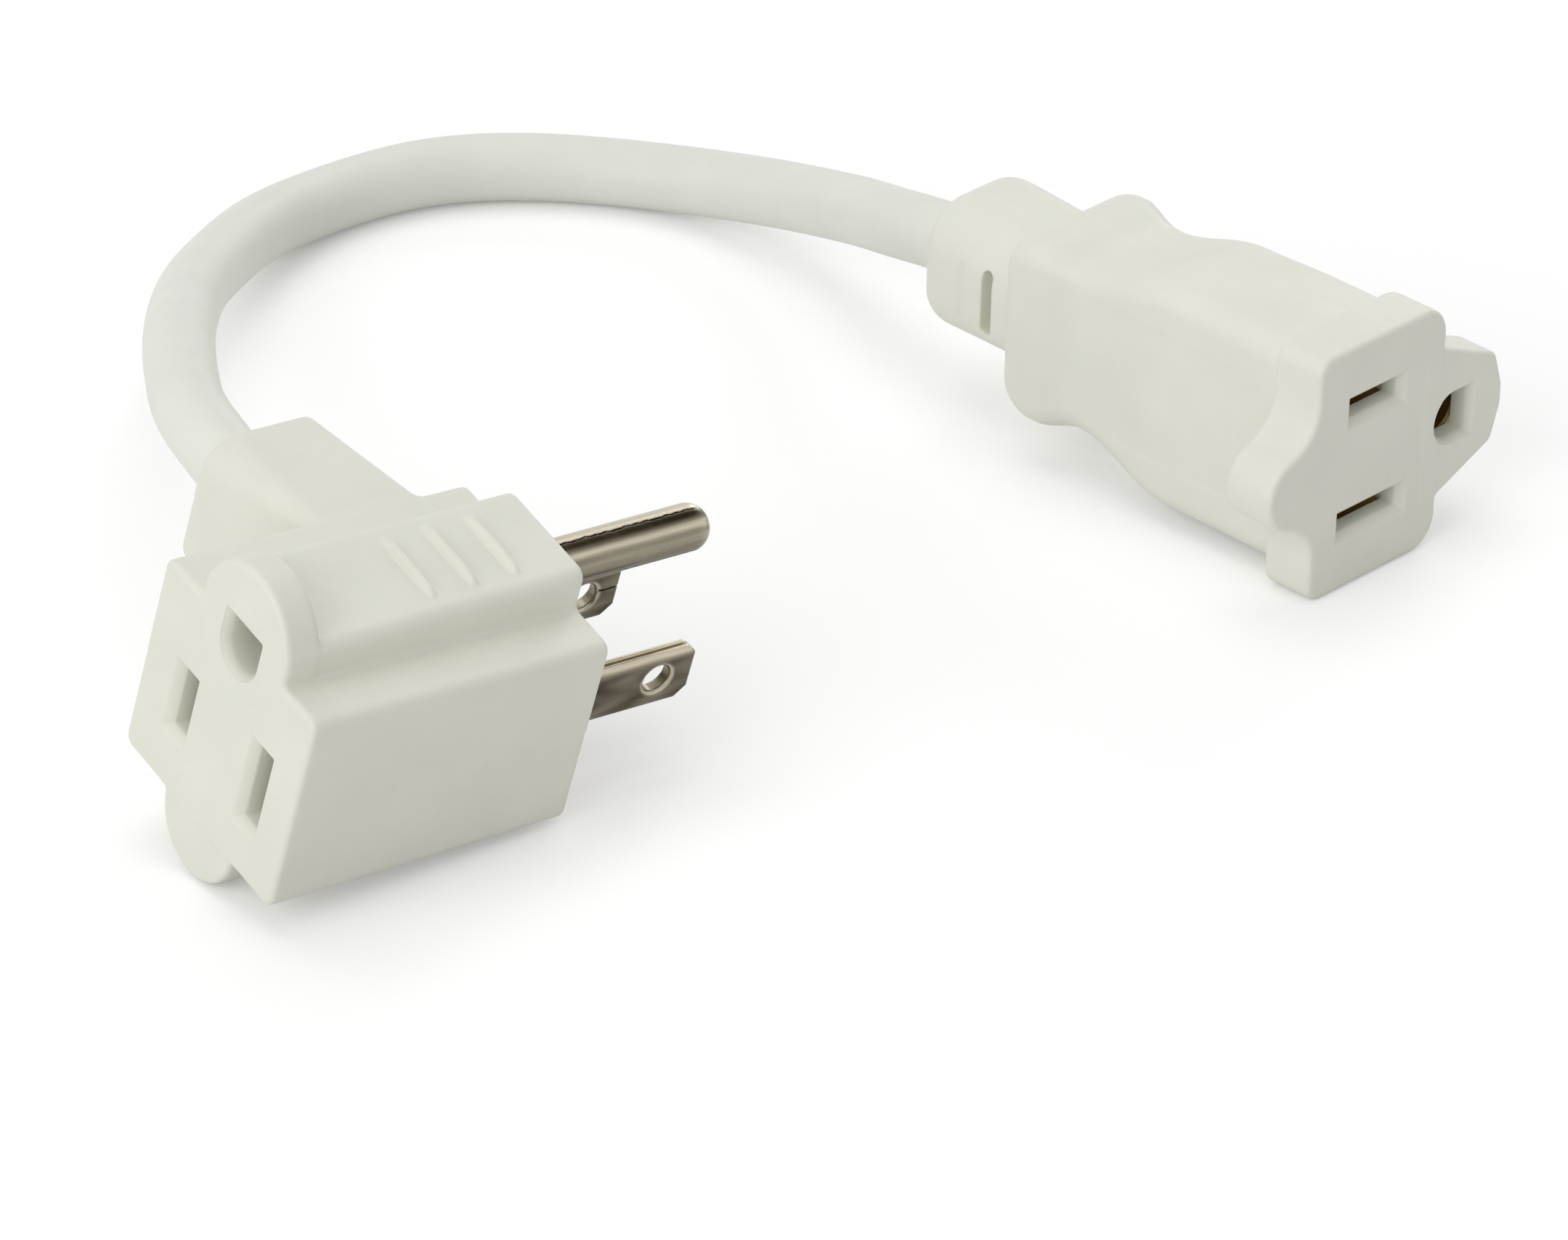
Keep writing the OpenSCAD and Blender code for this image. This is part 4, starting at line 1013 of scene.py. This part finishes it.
def plated(name):
    """Nickel-plated brass, drawn along its length, with darker patches, fine scratches and painted
    highlights.
    """
    m = Nodes(name)
    plain = m.coordinates("own")
    along = m.coordinates("own", (1, 1, 0.035))
    tone = m.add("Mix", data_type="FLOAT")
    tone.inputs["Factor"].default_value = 0.4
    m.link(m.noise(plain, 420, 5, 0.62), tone.inputs["A"])
    m.link(m.noise(along, 900, 3, 0.55), tone.inputs["B"])
    # the plate's colour, with random patches, is kept dark brown as a painted dark reflection
    plate_and_dark_reflection = m.ramp(tone.outputs["Result"], [
        (0.36, linear(38, 30, 19)), (0.5, linear(50, 42, 29)), (0.64, linear(72, 63, 47))])
    # the bright colour stands for polish and painted highlights; the point attribute mixes it in
    polish_and_highlight = m.blend(m.span(m.noise(along, 2600, 3, 0.6), 0.55, 1.0, 0.3, 0.7),
                       linear(142, 132, 112), linear(208, 200, 180))
    polish_and_sheen = m.add("Attribute", attribute_name="polish_and_sheen").outputs["Fac"]
    streaks = m.noise(along, 5200, 4, 0.7)
    scratches = m.bump(streaks, 0.000006, 0.4)
    dents = m.bump(m.noise(plain, 900, 3, 0.5), 0.00005, 0.25, scratches)
    m.drive(Base_Color=m.blend(polish_and_sheen, plate_and_dark_reflection, polish_and_highlight),
            Roughness=m.span(streaks, 0.2, 0.36, 0.3, 0.7), Normal=dents)
    m.set(Metallic=1.0)
    return m.material


def sheet_metal(name, low, high, roughness):
    """Rolled metal with faint patches and streaks."""
    m = Nodes(name)
    patches = m.noise(m.coordinates(), 350, 4)
    streaks = m.noise(m.coordinates(scale=(1, 1, 0.1)), 4000, 3)
    m.drive(Base_Color=m.ramp(patches, [(0.3, low), (0.7, high)]),
            Roughness=m.span(streaks, roughness, roughness + 0.15),
            Normal=m.bump(streaks, 0.00001, 0.4))
    m.set(Metallic=1.0)
    return m.material


def plain_plastic(name, base, roughness, grain):
    """Hard or soft plastic, or yarn, whose grain is finer as the number is larger."""
    m = Nodes(name)
    where = m.coordinates()
    darker = tuple(c * 0.9 for c in base)
    m.drive(Base_Color=m.ramp(m.noise(where, grain, 3), [(0.3, darker), (0.7, base)]),
            Roughness=m.span(m.noise(where, 3 * grain, 2), roughness, roughness + 0.12),
            Normal=m.bump(m.noise(where, 12 * grain, 2), 0.00001, 0.3))
    return m.material


looks = {
    "pvc": pvc("pvc_moulded", linear(231, 231, 219)),
    "liner": plain_plastic("insert_plastic", linear(205, 198, 178), 0.45, 300),
    "plated": plated("nickel_plate"),
    "brass": sheet_metal("sheet_brass", linear(150, 120, 70), linear(186, 156, 98), 0.34),
    "copper": sheet_metal("bare_copper", linear(178, 104, 72), linear(212, 134, 98), 0.3),
    "black_pvc": plain_plastic("insulation_black", linear(38, 38, 38), 0.35, 400),
    "white_pvc": plain_plastic("insulation_white", linear(235, 235, 232), 0.35, 400),
    "green_pvc": plain_plastic("insulation_green", linear(40, 130, 62), 0.35, 400),
    "filler": plain_plastic("filler_yarn", linear(205, 194, 160), 0.8, 900),
}
# the jacket and the connector are a shade lighter than the plug
sleeve_look = pvc("pvc_sleeve", linear(232, 233, 224), "UV", (map_length * MM,) * 3)
connector_look = pvc("pvc_connector", linear(233, 233, 222))


def dress(piece, look):
    piece.data.materials.clear()
    piece.data.materials.append(look)


# ---------------------------------------------------------------- the object


for part in frame["record"]["subparts"]:
    dress(nodes[part["node"]], looks[part["material_slot"]])

sleeve, sleeve_path = make_cord()
plug = make_plug()
connector = make_connector()
hot = make_blade("hot_blade_shell", blade_x, -1)
neutral = make_blade("neutral_blade_shell", -blade_x, 1)
pin = make_pin()

for piece, node, slot, look in (
        (sleeve, "cord_jacket", "pvc", sleeve_look),
        (plug, "plug_overmold", "pvc", looks["pvc"]),
        (connector, "connector_overmold", "pvc", connector_look),
        (hot, "hot_blade", "plated", looks["plated"]),
        (neutral, "neutral_blade", "plated", looks["plated"]),
        (pin, "ground_pin", "plated", looks["plated"])):
    dress(piece, look)
    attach(piece, "root")
    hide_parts(node)
# the cord stands for all that runs in it, so that nothing stiff is left where it bends
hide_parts("cord_fillers", "hot_insulation", "neutral_insulation", "ground_insulation",
            "hot_copper", "neutral_copper", "ground_copper")

# ---------------------------------------------------------------- floor and light


def is_seen(tree):
    """1 for what the camera, a mirror or glass shows directly, 0 for light that bounces."""
    path = tree.nodes.new("ShaderNodeLightPath")
    seen = path.outputs["Is Camera Ray"]
    for kind in ("Is Transmission Ray", "Is Glossy Ray"):
        larger = tree.nodes.new("ShaderNodeMath")
        larger.operation = "MAXIMUM"
        tree.links.new(seen, larger.inputs[0])
        tree.links.new(path.outputs[kind], larger.inputs[1])
        seen = larger.outputs[0]
    return seen


def make_floor():
    """White floor, a little below the object so that the two don't share a plane."""
    half = 3
    mesh = bpy.data.meshes.new("floor")
    square = [(x, y, 0) for x, y in rectangle(-half, half, -half, half)]
    mesh.from_pydata(square, [], [(0, 1, 2, 3)])
    floor = linked("floor", mesh)
    floor.location = (0, 0, -0.00005)
    paper = Nodes("white_paper")
    seen = is_seen(paper.tree)
    paper.drive(Base_Color=paper.blend(seen, (0.8, 0.8, 0.8), (1, 1, 1)),
                Emission_Strength=paper.span(seen, 0.0, 0.18))
    paper.set(Roughness=0.9, Specular_IOR_Level=0.0, Emission_Color=(1, 1, 1, 1))
    dress(floor, paper.material)
    return floor


def make_world():
    """White where it is seen, and half as bright for the light that it throws."""
    world = bpy.data.worlds.new("studio")
    scene.world = world
    world.use_nodes = True
    sky = world.node_tree
    background = sky.nodes["Background"]
    level = sky.nodes.new("ShaderNodeMapRange")
    level.inputs["To Min"].default_value = 0.5
    level.inputs["To Max"].default_value = 1.0
    sky.links.new(is_seen(sky), level.inputs["Value"])
    sky.links.new(level.outputs["Result"], background.inputs["Strength"])
    background.inputs["Color"].default_value = (1, 1, 1, 1)


def lamp(name, place, aim, size, power):
    """Square soft light with sides of the given size."""
    light = bpy.data.lights.new(name, "AREA")
    light.size = size
    light.energy = power
    holder = bpy.data.objects.new(name, light)
    holder.location = place
    holder.rotation_euler = (Vector(aim) - Vector(place)).to_track_quat("-Z", "Y").to_euler()
    scene.collection.objects.link(holder)


make_floor()
make_world()
lamp("key", (-1.35, -0.3, 0.65), (0, 0, 0.01), 1.3, 9.6)
lamp("top", (0.1, 0.25, 1.5), (0, 0, 0), 1.2, 4.7)
lamp("back", (1.2, 0.7, 0.65), (0, 0, 0), 0.6, 3)
